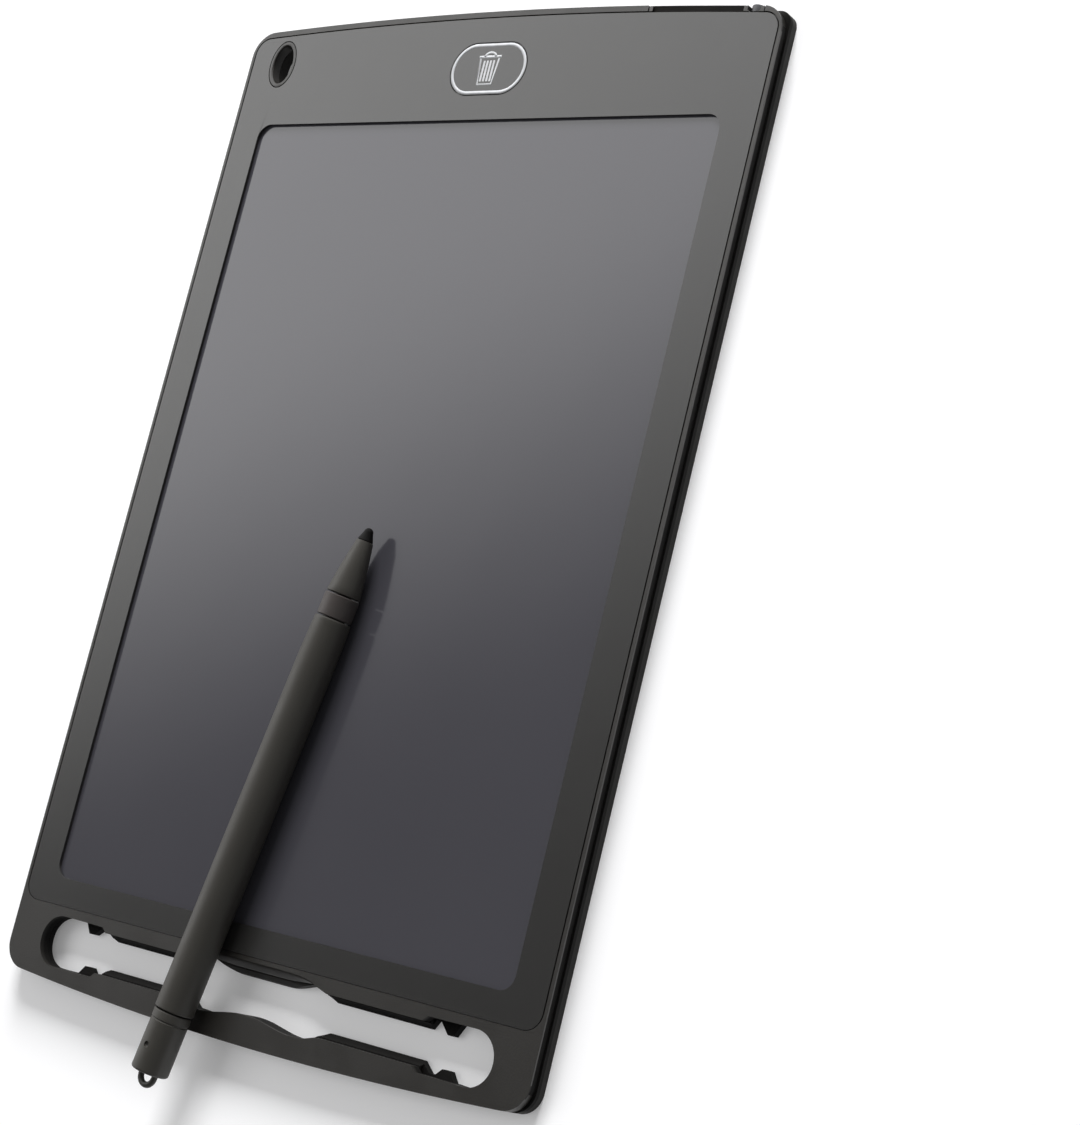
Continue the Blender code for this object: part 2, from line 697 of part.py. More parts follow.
def board_pin_places():
    """Where the rear cover's pins pass through the circuit board."""
    left = BOARD_LEFT + BOARD_PIN_INSET
    right = BOARD_RIGHT - BOARD_PIN_INSET
    low = BOARD_FRONT_EDGE + BOARD_PIN_INSET
    high = BOARD_FRONT_EDGE + BOARD_DEPTH - BOARD_PIN_INSET
    return [(left, low), (left, high), (right, high)]


def make_rear_cover(scoop):
    loop = tablet_outline(REAR_TOP_CORNER, REAR_BOTTOM_CORNER)
    cover = prism("rear_cover", [loop], 0, REAR_DEPTH, parts, SHELL_PLASTIC)
    low_edge = -REAR_DEPTH / 4
    round_edges(
        cover,
        REAR_EDGE_ROUND,
        REAR_EDGE_STEPS,
        lambda a, b: 1 if a.z < low_edge and b.z < low_edge else 0,
    )
    pocket = outline(
        HALF_WIDTH - REAR_WALL,
        TOP - REAR_WALL,
        FACEPLATE_BOTTOM + REAR_WALL,
        CORNER_RADIUS - REAR_WALL,
        TOP_BOW - REAR_WALL,
    )
    cut(cover, prism("rear_pocket", [pocket], REAR_FLOOR, REAR_DEPTH + CUT_OVERRUN))
    root = REAR_FLOOR / 2
    join(cover, prism("lanyard_boss", [lanyard_oval(LANYARD_WALL)], root, REAR_DEPTH))
    half_panel = WINDOW_WIDTH / 2 + PANEL_BORDER
    rib_low = WINDOW_BOTTOM + RIB_MARGIN
    rib_high = WINDOW_TOP - RIB_MARGIN
    for number in range(LONG_RIBS):
        x = half_panel * ((number + 0.5) / LONG_RIBS * 2 - 1)
        edges = (x - RIB_WIDTH / 2, x + RIB_WIDTH / 2)
        join(cover, block(f"long_rib_{number}", *edges, rib_low, rib_high, root, RIB_TOP))
    for number in range(CROSS_RIBS):
        y = rib_low + (rib_high - rib_low) * (number + 0.5) / CROSS_RIBS
        edges = (y - RIB_WIDTH / 2, y + RIB_WIDTH / 2)
        reach = half_panel - RIB_MARGIN
        join(cover, block(f"cross_rib_{number}", -reach, reach, *edges, root, RIB_TOP))
    for number, (x, y) in enumerate(board_pin_places()):
        height = BOARD_TOP + BOARD_PIN_RISE - root
        seat = BOARD_LOW - SEAM_GAP - root
        profile = [
            (0, height),
            (BOARD_PIN_RADIUS, height),
            (BOARD_PIN_RADIUS, seat),
            (BOARD_POST_RADIUS, seat),
            (BOARD_POST_RADIUS, 0),
            (0, 0),
        ]
        post = turned(f"board_post_{number}", profile)
        post.location = (x, y, root)
        join(cover, post)
    upper_reach = BAY_WIDTH / 2 - upper_lip_gap()
    upper = bay_side(LEDGE_GAP, True, UPPER_LIP_HALF, upper_reach, UPPER_LIP_FLAT_SHARE)
    lower = bay_side(LEDGE_GAP, True, LOWER_LIP_HALF, LOWER_LIP_REACH)
    cut(cover, prism("rear_bay", [bay_outline(upper, lower)], -CUT_OVERRUN, REAR_DEPTH + CUT_OVERRUN))
    trough = rod("pen_trough", TROUGH_GAP / 2, 2 * (LEDGE_END + TROUGH_END_SLOPE))
    trough.rotation_euler = (0, math.pi / 2, 0)
    trough.location = (-LEDGE_END - TROUGH_END_SLOPE, BAY_Y, FRONT - TROUGH_AXIS_DROP)
    cut(cover, trough, scoop)
    for side, name in ((1, "right"), (-1, "left")):
        ends = sorted((side * (LEDGE_END + TROUGH_END_SLOPE / 2), side * (TOOTH_CENTRE + TOOTH_TIP + TOOTH_RUN)))
        reach = BAY_WIDTH / 2 + TOOTH_RELIEF
        over_teeth = (TOOTH_THICKNESS, REAR_DEPTH + CUT_OVERRUN)
        cut(cover, block(f"{name}_tooth_relief", *ends, BAY_Y - reach, BAY_Y + reach, *over_teeth))
        flare = [
            (0, BAY_END_FLARE + CUT_OVERRUN),
            (BAY_WIDTH / 2 - CUT_OVERRUN, BAY_END_FLARE + CUT_OVERRUN),
            (BAY_WIDTH / 2 + BAY_END_FLARE + CUT_OVERRUN, -CUT_OVERRUN),
            (0, -CUT_OVERRUN),
        ]
        end = turned(f"{name}_bay_flare", flare)
        end.location = (side * (BAY_LENGTH - BAY_WIDTH) / 2, BAY_Y, 0)
        end.rotation_euler.z = math.pi / ROUND_STEPS
        cut(cover, end)
    through = (-CUT_OVERRUN, REAR_DEPTH + CUT_OVERRUN)
    cut(cover, prism("rear_lanyard_hole", [lanyard_oval(0)], *through))
    cut(cover, cap_room(REAR_FLOOR))
    smooth(cover)
    return cover


def make_front_frame(scoop):
    lip_edge = upper_lip_gap() + scoop_run() * (FRAME_LOW + SCOOP_EDGE - SCOOP_LOW) / (FRONT - SCOOP_LOW)
    upper = bay_side(TROUGH_GAP, False, UPPER_LIP_HALF, BAY_WIDTH / 2 - lip_edge, UPPER_LIP_FLAT_SHARE)
    lower = bay_side(TROUGH_GAP, False, LOWER_LIP_HALF, LOWER_LIP_REACH)
    loops = [tablet_outline(CORNER_RADIUS, CORNER_RADIUS), bay_outline(upper, lower)]
    frame = prism("front_frame", loops, FRAME_LOW, FRONT, parts, SHELL_PLASTIC)
    high_edge = (FRONT - FRAME_LOW) / 4
    bay_low = BAY_Y - BAY_WIDTH / 2 - BAY_EDGE_ROUND
    bay_high = BAY_Y + BAY_WIDTH / 2 + BAY_EDGE_ROUND

    def weight_of(a, b):
        if a.z < high_edge or b.z < high_edge:
            return 0
        in_bay = bay_low < a.y < bay_high and abs(a.x) < BAY_LENGTH / 2 + BAY_EDGE_ROUND
        return 1 if in_bay else RIM_EDGE_ROUND / BAY_EDGE_ROUND

    round_edges(frame, BAY_EDGE_ROUND, 2, weight_of)
    cut(frame, scoop)
    inner = outline(
        HALF_WIDTH - RIM_WIDTH - SHELF_WIDTH,
        TOP - TOP_BAND,
        FACEPLATE_BOTTOM + RIM_WIDTH,
        SHELF_CORNER,
        TOP_BOW - TOP_BAND,
    )
    cut(frame, prism("frame_inside", [inner], FRAME_LOW - CUT_OVERRUN, FRONT + CUT_OVERRUN))
    cut(frame, prism("faceplate_recess", [plate_outline(0)], SHELF_TOP, FRONT + CUT_OVERRUN))
    for side, name in ((1, "right_groove"), (-1, "left_groove")):
        groove = [(side * x, y) for x, y in side_groove()]
        cut(frame, prism(name, [groove], FRAME_LOW - CUT_OVERRUN, FRONT - SIDE_LIP_HEIGHT))
    low = FRAME_LOW + SEAM_GAP / 2
    web = block(
        "lanyard_web",
        -HALF_WIDTH + RIM_WIDTH + SHELF_WIDTH / 2,
        LANYARD_X,
        LANYARD_Y - LANYARD_HOLE_HEIGHT / 2,
        LANYARD_Y + LANYARD_HOLE_HEIGHT / 2,
        SHELF_TOP - LANYARD_WEB,
        SHELF_TOP,
    )
    join(frame, web)
    join(frame, prism("lanyard_tube", [lanyard_oval(LANYARD_WALL)], low, FRONT))
    boss = block(
        "screw_boss",
        SCREW_X - BOSS_WIDTH / 2,
        SCREW_X + BOSS_WIDTH / 2,
        CAP_INNER - CAP_GAP - BOSS_LENGTH,
        CAP_INNER,
        low,
        SHELF_TOP - SEAM_GAP / 2,
    )
    join(frame, boss)
    cut(frame, prism("frame_lanyard_hole", [lanyard_oval(0)], FRAME_LOW - CUT_OVERRUN, FRONT + CUT_OVERRUN))
    bore = rod("boss_bore", SCREW_SHANK_RADIUS + SCREW_BORE_GAP, BOSS_LENGTH + 2 * CUT_OVERRUN)
    bore.rotation_euler = (-math.pi / 2, 0, 0)
    bore.location = (SCREW_X, CAP_INNER - CAP_GAP - BOSS_LENGTH - CUT_OVERRUN, SCREW_HEIGHT)
    cut(frame, bore)
    passage = block(
        "tray_passage",
        CELL_X - TRAY_WIDTH / 2 - TRAY_SIDE_GAP,
        CELL_X + TRAY_WIDTH / 2 + TRAY_SIDE_GAP,
        WINDOW_TOP,
        TOP + CUT_OVERRUN,
        FRAME_LOW - CUT_OVERRUN,
        TRAY_TOP + TRAY_HEADROOM,
    )
    cut(frame, passage)
    cut(frame, cap_room(FRAME_LOW - CUT_OVERRUN))
    smooth(frame)
    return frame


def key_outline(margin):
    return moved(stadium(KEY_WIDTH + 2 * margin, KEY_HEIGHT + 2 * margin), 0, KEY_Y)


def window_outline(margin, corner=WINDOW_CORNER):
    """The window's outline with a margin around it."""
    return outline(WINDOW_WIDTH / 2 + margin, WINDOW_TOP + margin, WINDOW_BOTTOM - margin, corner)


def make_faceplate():
    loops = [
        plate_outline(FACEPLATE_GROOVE),
        window_outline(0),
        key_outline(KEY_GAP),
        lanyard_oval(LANYARD_WALL + LANYARD_GAP),
    ]
    return prism("faceplate", loops, FACEPLATE_LOW, FRONT, parts, FACE_PLASTIC)


def make_erase_key():
    flange_top = FACEPLATE_LOW - SEAM_GAP
    flange_low = flange_top - KEY_FLANGE_THICKNESS
    key = prism("erase_key", [key_outline(0)], flange_low + KEY_FLANGE_THICKNESS / 2, FRONT, parts, FACE_PLASTIC)
    join(key, prism("key_flange", [key_outline(KEY_FLANGE)], flange_low, flange_top))
    boss = rod("key_boss", KEY_BOSS_RADIUS, KEY_BOSS_DROP + KEY_FLANGE_THICKNESS / 2)
    boss.location = (0, KEY_Y, flange_low - KEY_BOSS_DROP)
    join(key, boss)
    smooth(key)
    carry(frame_at("key_slide", (0, KEY_Y, FRONT)), key)
    return flange_low - KEY_BOSS_DROP


def make_screen():
    tape_low = PANEL_TOP + TAPE_GAP
    loops = [window_outline(PANEL_BORDER, PANEL_CORNER), window_outline(TAPE_SETBACK)]
    prism("adhesive_frame", loops, tape_low, tape_low + TAPE_THICKNESS, parts, TAPE)
    panel = [window_outline(PANEL_BORDER, PANEL_CORNER)]
    prism("lcd_panel", panel, PANEL_LOW, PANEL_TOP, parts, SCREEN_GLASS)
    edge = WINDOW_WIDTH / 2 + PANEL_BORDER - BACKING_SETBACK
    top = WINDOW_TOP + PANEL_BORDER - FLEX_ZONE
    bottom = WINDOW_BOTTOM - PANEL_BORDER + BACKING_SETBACK
    backing = [outline(edge, top, bottom, PANEL_CORNER)]
    prism("panel_backing", backing, BACKING_LOW, BACKING_TOP, parts, BACKING_FILM)


def make_board():
    low = BOARD_FRONT_EDGE
    loops = [box_outline(BOARD_LEFT, BOARD_RIGHT, low, low + BOARD_DEPTH)]
    for x, y in board_pin_places():
        loops.append(arc((x, y), BOARD_PIN_HOLE_RADIUS, 0, 2 * math.pi, ROUND_STEPS)[:-1])
    prism("circuit_board", loops, BOARD_LOW, BOARD_TOP, parts, BOARD_MASK)


def make_switch(boss_low):
    half = SWITCH_SIZE / 2
    top = SOLDER_LEVEL + SWITCH_HEIGHT
    loop = [moved(outline(half, half, -half, SWITCH_CORNER), 0, KEY_Y)]
    body = prism("switch_body", loop, SOLDER_LEVEL, top, parts, SWITCH_PLASTIC)
    bore = rod("switch_bore", SWITCH_BORE_RADIUS, SWITCH_HEIGHT + CUT_OVERRUN)
    bore.location = (0, KEY_Y, SOLDER_LEVEL + SWITCH_FLOOR)
    cut(body, bore)
    crown = boss_low - PLUNGER_GAP
    foot = SOLDER_LEVEL + SWITCH_FLOOR + KEY_TRAVEL + PLUNGER_GAP
    profile = [
        (0, crown - foot),
        (PLUNGER_RADIUS - PLUNGER_CHAMFER, crown - foot),
        (PLUNGER_RADIUS, crown - foot - PLUNGER_CHAMFER),
        (PLUNGER_RADIUS, 0),
        (0, 0),
    ]
    plunger = turned("switch_plunger", profile, parts, PLUNGER_PLASTIC)
    plunger.location = (0, KEY_Y, foot)
    smooth(plunger)


def make_driver_chip():
    half_length = CHIP_LENGTH / 2
    half_width = CHIP_WIDTH / 2
    top = SOLDER_LEVEL + CHIP_HEIGHT
    loop = moved(box_outline(-half_length, half_length, -half_width, half_width), CHIP_X, KEY_Y)
    chip = prism("driver_chip", [loop], SOLDER_LEVEL + CHIP_EDGE, top, parts, CHIP_RESIN)
    soften(chip, CHIP_EDGE)
    for number in range(CHIP_LEGS_A_SIDE):
        x = CHIP_X + (number - (CHIP_LEGS_A_SIDE - 1) / 2) * CHIP_LEG_PITCH
        legs = block(
            f"chip_legs_{number}",
            x - CHIP_LEG_WIDTH / 2,
            x + CHIP_LEG_WIDTH / 2,
            KEY_Y - half_width - CHIP_LEG_REACH,
            KEY_Y + half_width + CHIP_LEG_REACH,
            SOLDER_LEVEL,
            SOLDER_LEVEL + CHIP_LEG_HEIGHT,
        )
        join(chip, legs)


def make_capacitors():
    for number in range(2):
        x = CAPACITOR_X + number * CAPACITOR_PITCH
        loop = moved(
            box_outline(-CAPACITOR_WIDTH / 2, CAPACITOR_WIDTH / 2, -CAPACITOR_LENGTH / 2, CAPACITOR_LENGTH / 2),
            x,
            KEY_Y,
        )
        name = f"capacitor_{number + 1}"
        top = SOLDER_LEVEL + CAPACITOR_HEIGHT
        soften(prism(name, [loop], SOLDER_LEVEL, top, parts, CERAMIC), CAPACITOR_EDGE)


def make_boost_coil():
    waist_top = COIL_HEIGHT - COIL_FLANGE
    profile = [
        (0, COIL_HEIGHT),
        (COIL_RADIUS, COIL_HEIGHT),
        (COIL_RADIUS, waist_top),
        (COIL_WAIST_RADIUS, waist_top),
        (COIL_WAIST_RADIUS, COIL_FLANGE),
        (COIL_RADIUS, COIL_FLANGE),
        (COIL_RADIUS, 0),
        (0, 0),
    ]
    coil = turned("boost_coil", profile, parts, FERRITE)
    coil.location = (COIL_X, KEY_Y, SOLDER_LEVEL)
    smooth(coil)


def ribbon(name, path, thickness, start, end, turn, origin, look):
    """A thin strip along a path in its own plane, as wide as start to end across that plane."""
    sides = ([], [])
    for number, point in enumerate(path):
        before = Vector(path[max(number - 1, 0)])
        after = Vector(path[min(number + 1, len(path) - 1)])
        ahead = (after - before).normalized()
        across = Vector((-ahead.y, ahead.x)) * thickness / 2
        sides[0].append(tuple(Vector(point) + across))
        sides[1].append(tuple(Vector(point) - across))
    loop = sides[1] + sides[0][::-1]
    strip = prism(name, [loop], start, end, parts, look)
    middle = Vector((0, 0, (start + end) / 2))
    strip.rotation_euler = turn
    strip.location = Vector(origin) + strip.rotation_euler.to_matrix() @ middle
    return strip


def make_flex():
    mouth = SOLDER_LEVEL + CONNECTOR_HEIGHT / 2
    back = BOARD_FRONT_EDGE + CONNECTOR_DEPTH
    loop = box_outline(
        CONNECTOR_X - CONNECTOR_WIDTH / 2, CONNECTOR_X + CONNECTOR_WIDTH / 2, BOARD_FRONT_EDGE, back
    )
    top = SOLDER_LEVEL + CONNECTOR_HEIGHT
    connector = prism("flex_connector", [loop], SOLDER_LEVEL, top, parts, CONNECTOR_PLASTIC)
    slot = block(
        "connector_mouth",
        CONNECTOR_X - FLEX_WIDTH / 2 - PART_GAP,
        CONNECTOR_X + FLEX_WIDTH / 2 + PART_GAP,
        BOARD_FRONT_EDGE - CUT_OVERRUN,
        BOARD_FRONT_EDGE + CONNECTOR_MOUTH_DEPTH,
        mouth - CONNECTOR_MOUTH / 2,
        mouth + CONNECTOR_MOUTH / 2,
    )
    cut(connector, slot)
    panel_edge = WINDOW_TOP + PANEL_BORDER
    under = PANEL_LOW - PART_GAP / 2 - FLEX_THICKNESS / 2
    path = [
        (panel_edge - FLEX_UNDER_PANEL, under),
        (panel_edge - FLEX_BEND, under),
        (BOARD_FRONT_EDGE - FLEX_BEND, mouth),
        (BOARD_FRONT_EDGE + CONNECTOR_MOUTH_DEPTH - FLEX_BEND, mouth),
    ]
    across = (CONNECTOR_X - FLEX_WIDTH / 2, CONNECTOR_X + FLEX_WIDTH / 2)
    turn = (math.pi / 2, 0, math.pi / 2)
    ribbon("flex_tail", path, FLEX_THICKNESS, *across, turn, (0, 0, 0), FLEX_FILM)


def make_contacts():
    foot = SOLDER_LEVEL + CONTACT_THICKNESS / 2
    over = CELL_TOP + CONTACT_CLEARANCE + CONTACT_THICKNESS / 2
    start = BOARD_RIGHT - CONTACT_FOOT
    path = [
        (start, foot),
        (BOARD_RIGHT, foot),
        (BOARD_RIGHT + CONTACT_RISER_RUN, over),
        (CELL_X - CONTACT_TIP, over),
        (CELL_X, over - CONTACT_DIP),
        (CELL_X + CONTACT_TIP, over),
    ]
    across = (-CELL_Y - CONTACT_WIDTH / 2, -CELL_Y + CONTACT_WIDTH / 2)
    turn = (math.pi / 2, 0, 0)
    ribbon("contact_negative", path, CONTACT_THICKNESS, *across, turn, (0, 0, 0), SPRING_STEEL)
    touch = CELL_Y - CELL_RADIUS - PART_GAP - CONTACT_THICKNESS / 2
    tray_left = CELL_X - TRAY_WIDTH / 2
    path = [
        (BOARD_RIGHT - CONTACT_FOOT, BOARD_FRONT_EDGE + CONTACT_WIDTH),
        (BOARD_RIGHT, BOARD_FRONT_EDGE + CONTACT_THICKNESS),
        (tray_left - CONTACT_WIDTH, touch - BLADE_BOW),
        (CELL_X - BLADE_REACH, touch - BLADE_BOW),
        (CELL_X, touch),
        (CELL_X + BLADE_REACH, touch - BLADE_BOW),
    ]
    rise = (SOLDER_LEVEL, SOLDER_LEVEL + BLADE_HEIGHT)
    ribbon("contact_positive", path, CONTACT_THICKNESS, *rise, (0, 0, 0), (0, 0, 0), SPRING_STEEL)


def make_battery_tray():
    half = TRAY_WIDTH / 2
    base = box_outline(CELL_X - half, CELL_X + half, CELL_Y - TRAY_HOLD, CAP_INNER + CAP_GAP)
    tray = prism("battery_tray", [base], TRAY_LOW, TRAY_TOP, parts, SHELL_PLASTIC)
    crest = [CAP_RIGHT + (CAP_LEFT - CAP_RIGHT) * step / BOW_STEPS for step in range(BOW_STEPS + 1)]
    cap = [(CAP_LEFT, CAP_INNER), (CAP_RIGHT, CAP_INNER)] + [(x, top_edge(x)) for x in crest]
    join(tray, prism("tray_cap", [cap], TRAY_LOW - SEAM_GAP / 2, FRONT - CAP_STEP))
    pocket = rod("cell_pocket", CELL_RADIUS + TRAY_CELL_GAP, TRAY_HEIGHT)
    pocket.location = (CELL_X, CELL_Y, TRAY_LOW + TRAY_FLOOR)
    hole = rod("push_hole", TRAY_PUSH_HOLE_RADIUS, TRAY_HEIGHT)
    hole.location = (CELL_X, CELL_Y, TRAY_LOW - TRAY_HEIGHT / 2)
    cut(tray, pocket, hole)
    cut(tray, prism("cap_recess", [plate_outline(0)], SHELF_TOP, FRONT + CUT_OVERRUN))
    slot = block(
        "nail_slot",
        CAP_LEFT + NAIL_SLOT_END,
        SCREW_X - SCREW_NOTCH_WIDTH / 2 - NAIL_SLOT_END,
        CAP_INNER - CUT_OVERRUN,
        TOP + CUT_OVERRUN,
        FRONT - NAIL_SLOT_DEPTH,
        FRONT + CUT_OVERRUN,
    )
    cut(tray, slot)
    notch_floor = top_edge(SCREW_X) - SCREW_NOTCH_DEPTH
    reach = TOP + CUT_OVERRUN - notch_floor
    notch = outline(SCREW_NOTCH_WIDTH / 2, reach / 2, -reach / 2, SCREW_NOTCH_CORNER)
    notch = moved(notch, SCREW_X, notch_floor + reach / 2)
    bottom = SCREW_HEIGHT - SCREW_NOTCH_WIDTH / 2
    cut(tray, prism("screw_notch", [notch], bottom, FRONT + CUT_OVERRUN))
    bore = rod("cap_bore", SCREW_SHANK_RADIUS + SCREW_BORE_GAP, CAP_INNER_FROM_TOP)
    bore.rotation_euler = (-math.pi / 2, 0, 0)
    bore.location = (SCREW_X, CAP_INNER - CUT_OVERRUN, SCREW_HEIGHT)
    cut(tray, bore)
    smooth(tray)

    cap_foot = CELL_THICKNESS - CELL_CAP_STEP
    profile = [
        (0, CELL_THICKNESS),
        (CELL_CAP_RADIUS - CELL_EDGE, CELL_THICKNESS),
        (CELL_CAP_RADIUS, cap_foot - CELL_CAP_STEP),
        (CELL_CAP_RADIUS + CELL_GROOVE, cap_foot - CELL_CAP_STEP),
        (CELL_CAP_RADIUS + CELL_GROOVE, cap_foot),
        (CELL_RADIUS - CELL_EDGE, cap_foot),
        (CELL_RADIUS, cap_foot - CELL_EDGE),
        (CELL_RADIUS, CELL_EDGE),
        (CELL_RADIUS - CELL_EDGE, 0),
        (0, 0),
    ]
    cell = turned("coin_cell", profile, parts, CELL_STEEL, 2 * ROUND_STEPS)
    cell.location = (CELL_X, CELL_Y, CELL_LOW)
    smooth(cell)

    profile = [
        (0, SCREW_HEAD_LENGTH),
        (SCREW_HEAD_RADIUS - CELL_EDGE, SCREW_HEAD_LENGTH),
        (SCREW_HEAD_RADIUS, SCREW_HEAD_LENGTH - CELL_EDGE),
        (SCREW_HEAD_RADIUS, 0),
        (SCREW_SHANK_RADIUS, 0),
        (SCREW_SHANK_RADIUS, -SCREW_SHANK_LENGTH),
        (0, -SCREW_SHANK_LENGTH),
    ]
    screw = turned("tray_screw", profile, parts, SCREW_STEEL)
    screw.rotation_euler = (-math.pi / 2, 0, 0)
    screw.location = (SCREW_X, notch_floor + SCREW_NOTCH_FLOOR_GAP, SCREW_HEIGHT)
    smooth(screw)
    carry(frame_at("tray_slide", (CELL_X, CAP_INNER, TRAY_LOW)), tray, cell, screw)


def barrel_radius(along):
    """The barrel swells a little behind its front end."""
    share = min((along - COLLAR_END) / BARREL_SHOULDER, 1)
    front = STYLUS_FRONT_DIAMETER / 2
    return front + (STYLUS_DIAMETER / 2 - front) * math.sin(math.pi / 2 * share)


def stylus_piece(name, profile, look):
    """Turns a stylus piece from (radius, distance from the tip) points, tail end first."""
    piece = turned(name, profile, parts, look, STYLUS_STEPS)
    smooth(piece)
    return piece


def make_stylus():
    bore = STYLUS_BORE_DIAMETER / 2
    spigot = bore - STYLUS_FIT_GAP
    nib_hole = NIB_SHANK_RADIUS + STYLUS_FIT_GAP
    nib_end = NIB_LENGTH + NIB_SHANK_LENGTH
    nib = stylus_piece(
        "stylus_nib",
        [
            (0, nib_end),
            (NIB_SHANK_RADIUS, nib_end),
            (NIB_SHANK_RADIUS, NIB_LENGTH - STYLUS_FIT_GAP),
            (NIB_RADIUS, NIB_LENGTH - STYLUS_FIT_GAP),
            (NIB_TIP_RADIUS, NIB_TIP_RADIUS / 2),
            (NIB_TIP_RADIUS / 2, 0),
            (0, 0),
        ],
        NIB_PLASTIC,
    )
    nose_rear = NOSE_REAR_DIAMETER / 2
    nose_back = NOSE_END - STYLUS_RING_GAP / 2
    spigot_end = NOSE_END + NOSE_SPIGOT_LENGTH
    nose = stylus_piece(
        "stylus_nose",
        [
            (0, spigot_end),
            (NOSE_SPIGOT_RADIUS, spigot_end),
            (NOSE_SPIGOT_RADIUS, nose_back),
            (nose_rear - STYLUS_EDGE, nose_back),
            (nose_rear, nose_back - STYLUS_EDGE),
            (NOSE_FRONT_RADIUS, NIB_LENGTH),
            (nib_hole, NIB_LENGTH),
            (nib_hole, nib_end + STYLUS_FIT_GAP),
            (0, nib_end + STYLUS_FIT_GAP),
        ],
        PEN_PLASTIC,
    )
    collar = COLLAR_DIAMETER / 2
    collar_front = NOSE_END + STYLUS_RING_GAP / 2
    collar_back = COLLAR_END - STYLUS_RING_GAP / 2
    collar_end = COLLAR_END + COLLAR_SPIGOT_LENGTH
    socket = NOSE_SPIGOT_RADIUS + STYLUS_FIT_GAP
    ring = stylus_piece(
        "stylus_collar",
        [
            (0, collar_end),
            (spigot, collar_end),
            (spigot, collar_back),
            (collar - STYLUS_EDGE, collar_back),
            (collar, collar_back - STYLUS_EDGE),
            (collar, collar_front + STYLUS_EDGE),
            (collar - STYLUS_EDGE, collar_front),
            (socket, collar_front),
            (socket, spigot_end + STYLUS_FIT_GAP),
            (0, spigot_end + STYLUS_FIT_GAP),
        ],
        PEN_PLASTIC,
    )
    barrel_front = COLLAR_END + STYLUS_RING_GAP / 2
    barrel_back = BARREL_END - STYLUS_RING_GAP / 2
    widest = STYLUS_DIAMETER / 2
    swell = [COLLAR_END + BARREL_SHOULDER * (1 - step / CORNER_STEPS) for step in range(CORNER_STEPS)]
    profile = [(bore, barrel_back), (widest - STYLUS_EDGE, barrel_back), (widest, barrel_back - STYLUS_EDGE)]
    profile += [(barrel_radius(along), along) for along in swell]
    profile.append((STYLUS_FRONT_DIAMETER / 2 - STYLUS_EDGE, barrel_front))
    profile.append((bore, barrel_front))
    profile.append((bore, barrel_back))
    barrel = stylus_piece("stylus_barrel", profile, PEN_PLASTIC)
    tail = make_tail_cap(spigot)
    holder = frame_at("stylus_rest", (0, 0, 0))
    carry(holder, nib, nose, ring, barrel, tail)
    lay_down(holder)


def make_tail_cap(spigot):
    radius = TAIL_DIAMETER / 2
    front = BARREL_END + STYLUS_RING_GAP / 2
    groove = BARREL_END + TAIL_BAND
    tail = stylus_piece(
        "stylus_tail_cap",
        [
            (0, TAIL_END),
            (radius - 2 * STYLUS_EDGE, TAIL_END),
            (radius - STYLUS_EDGE, TAIL_END - STYLUS_EDGE),
            (radius, groove + TAIL_GROOVE_WIDTH),
            (radius - TAIL_GROOVE_DEPTH, groove + TAIL_GROOVE_WIDTH / 2),
            (radius, groove),
            (radius, front + STYLUS_EDGE),
            (radius - STYLUS_EDGE, front),
            (spigot, front),
            (spigot, BARREL_END - TAIL_SPIGOT_LENGTH),
            (0, BARREL_END - TAIL_SPIGOT_LENGTH),
        ],
        PEN_PLASTIC,
    )
    curve = bpy.data.curves.new("cord_loop", "CURVE")
    curve.dimensions = "3D"
    curve.bevel_depth = LOOP_WIRE_RADIUS
    curve.bevel_resolution = 2
    curve.use_fill_caps = True
    spline = curve.splines.new("POLY")
    bend = arc((0, TAIL_END + LOOP_WIRE_RADIUS), LOOP_RADIUS, 0, math.pi, LOOP_STEPS)
    sunk = TAIL_END - 2 * LOOP_WIRE_RADIUS
    route = [(LOOP_RADIUS, sunk)] + bend + [(-LOOP_RADIUS, sunk)]
    spline.points.add(len(route) - 1)
    for place, (x, along) in zip(spline.points, route):
        place.co = (x, 0, along, 1)
    shape = bpy.data.objects.new("cord_loop", curve)
    helpers.objects.link(shape)
    graph = bpy.context.evaluated_depsgraph_get()
    mesh = bpy.data.meshes.new_from_object(shape.evaluated_get(graph))
    bpy.data.objects.remove(shape)
    work = bmesh.new()
    work.from_mesh(mesh)
    bmesh.ops.remove_doubles(work, verts=work.verts, dist=WELD_DISTANCE)
    work.to_mesh(mesh)
    work.free()
    join(tail, add("tail_loop", mesh, helpers))
    dimple = rod("tail_dimple", DIMPLE_RADIUS, DIMPLE_DEPTH + CUT_OVERRUN)
    dimple.rotation_euler = (-math.pi / 2, 0, 0)
    dimple.location = (0, radius - DIMPLE_DEPTH, DIMPLE_AT)
    cut(tail, dimple)
    carry(tail, *[piece for piece in helpers.objects if piece.name in ("tail_loop", "tail_dimple")])
    return tail


def lay_down(holder):
    """Lays the stylus on the window's lower edge and on the screen, its tail past the bottom edge."""
    tip_y = BOTTOM - STYLUS_OVERHANG + TAIL_END * math.cos(STYLUS_TURN)
    to_edge = (tip_y - WINDOW_BOTTOM) / math.cos(STYLUS_TURN)
    front = STYLUS_FRONT_DIAMETER / 2
    drop = (FRONT - PANEL_TOP) + (STYLUS_DIAMETER / 2 - front)
    tilt = math.atan2(drop, to_edge - COLLAR_END)
    shoulder = PANEL_TOP + front + STYLUS_REST_GAP
    tip_z = shoulder - COLLAR_END * math.tan(tilt) + STYLUS_REST_GAP
    ahead = Vector((-math.sin(STYLUS_TURN), -math.cos(STYLUS_TURN), 0)) * math.cos(tilt)
    ahead.z = math.sin(tilt)
    holder.rotation_euler = ahead.to_track_quat("Z", "Y").to_euler()
    holder.location = (STYLUS_TIP_X, tip_y, tip_z)


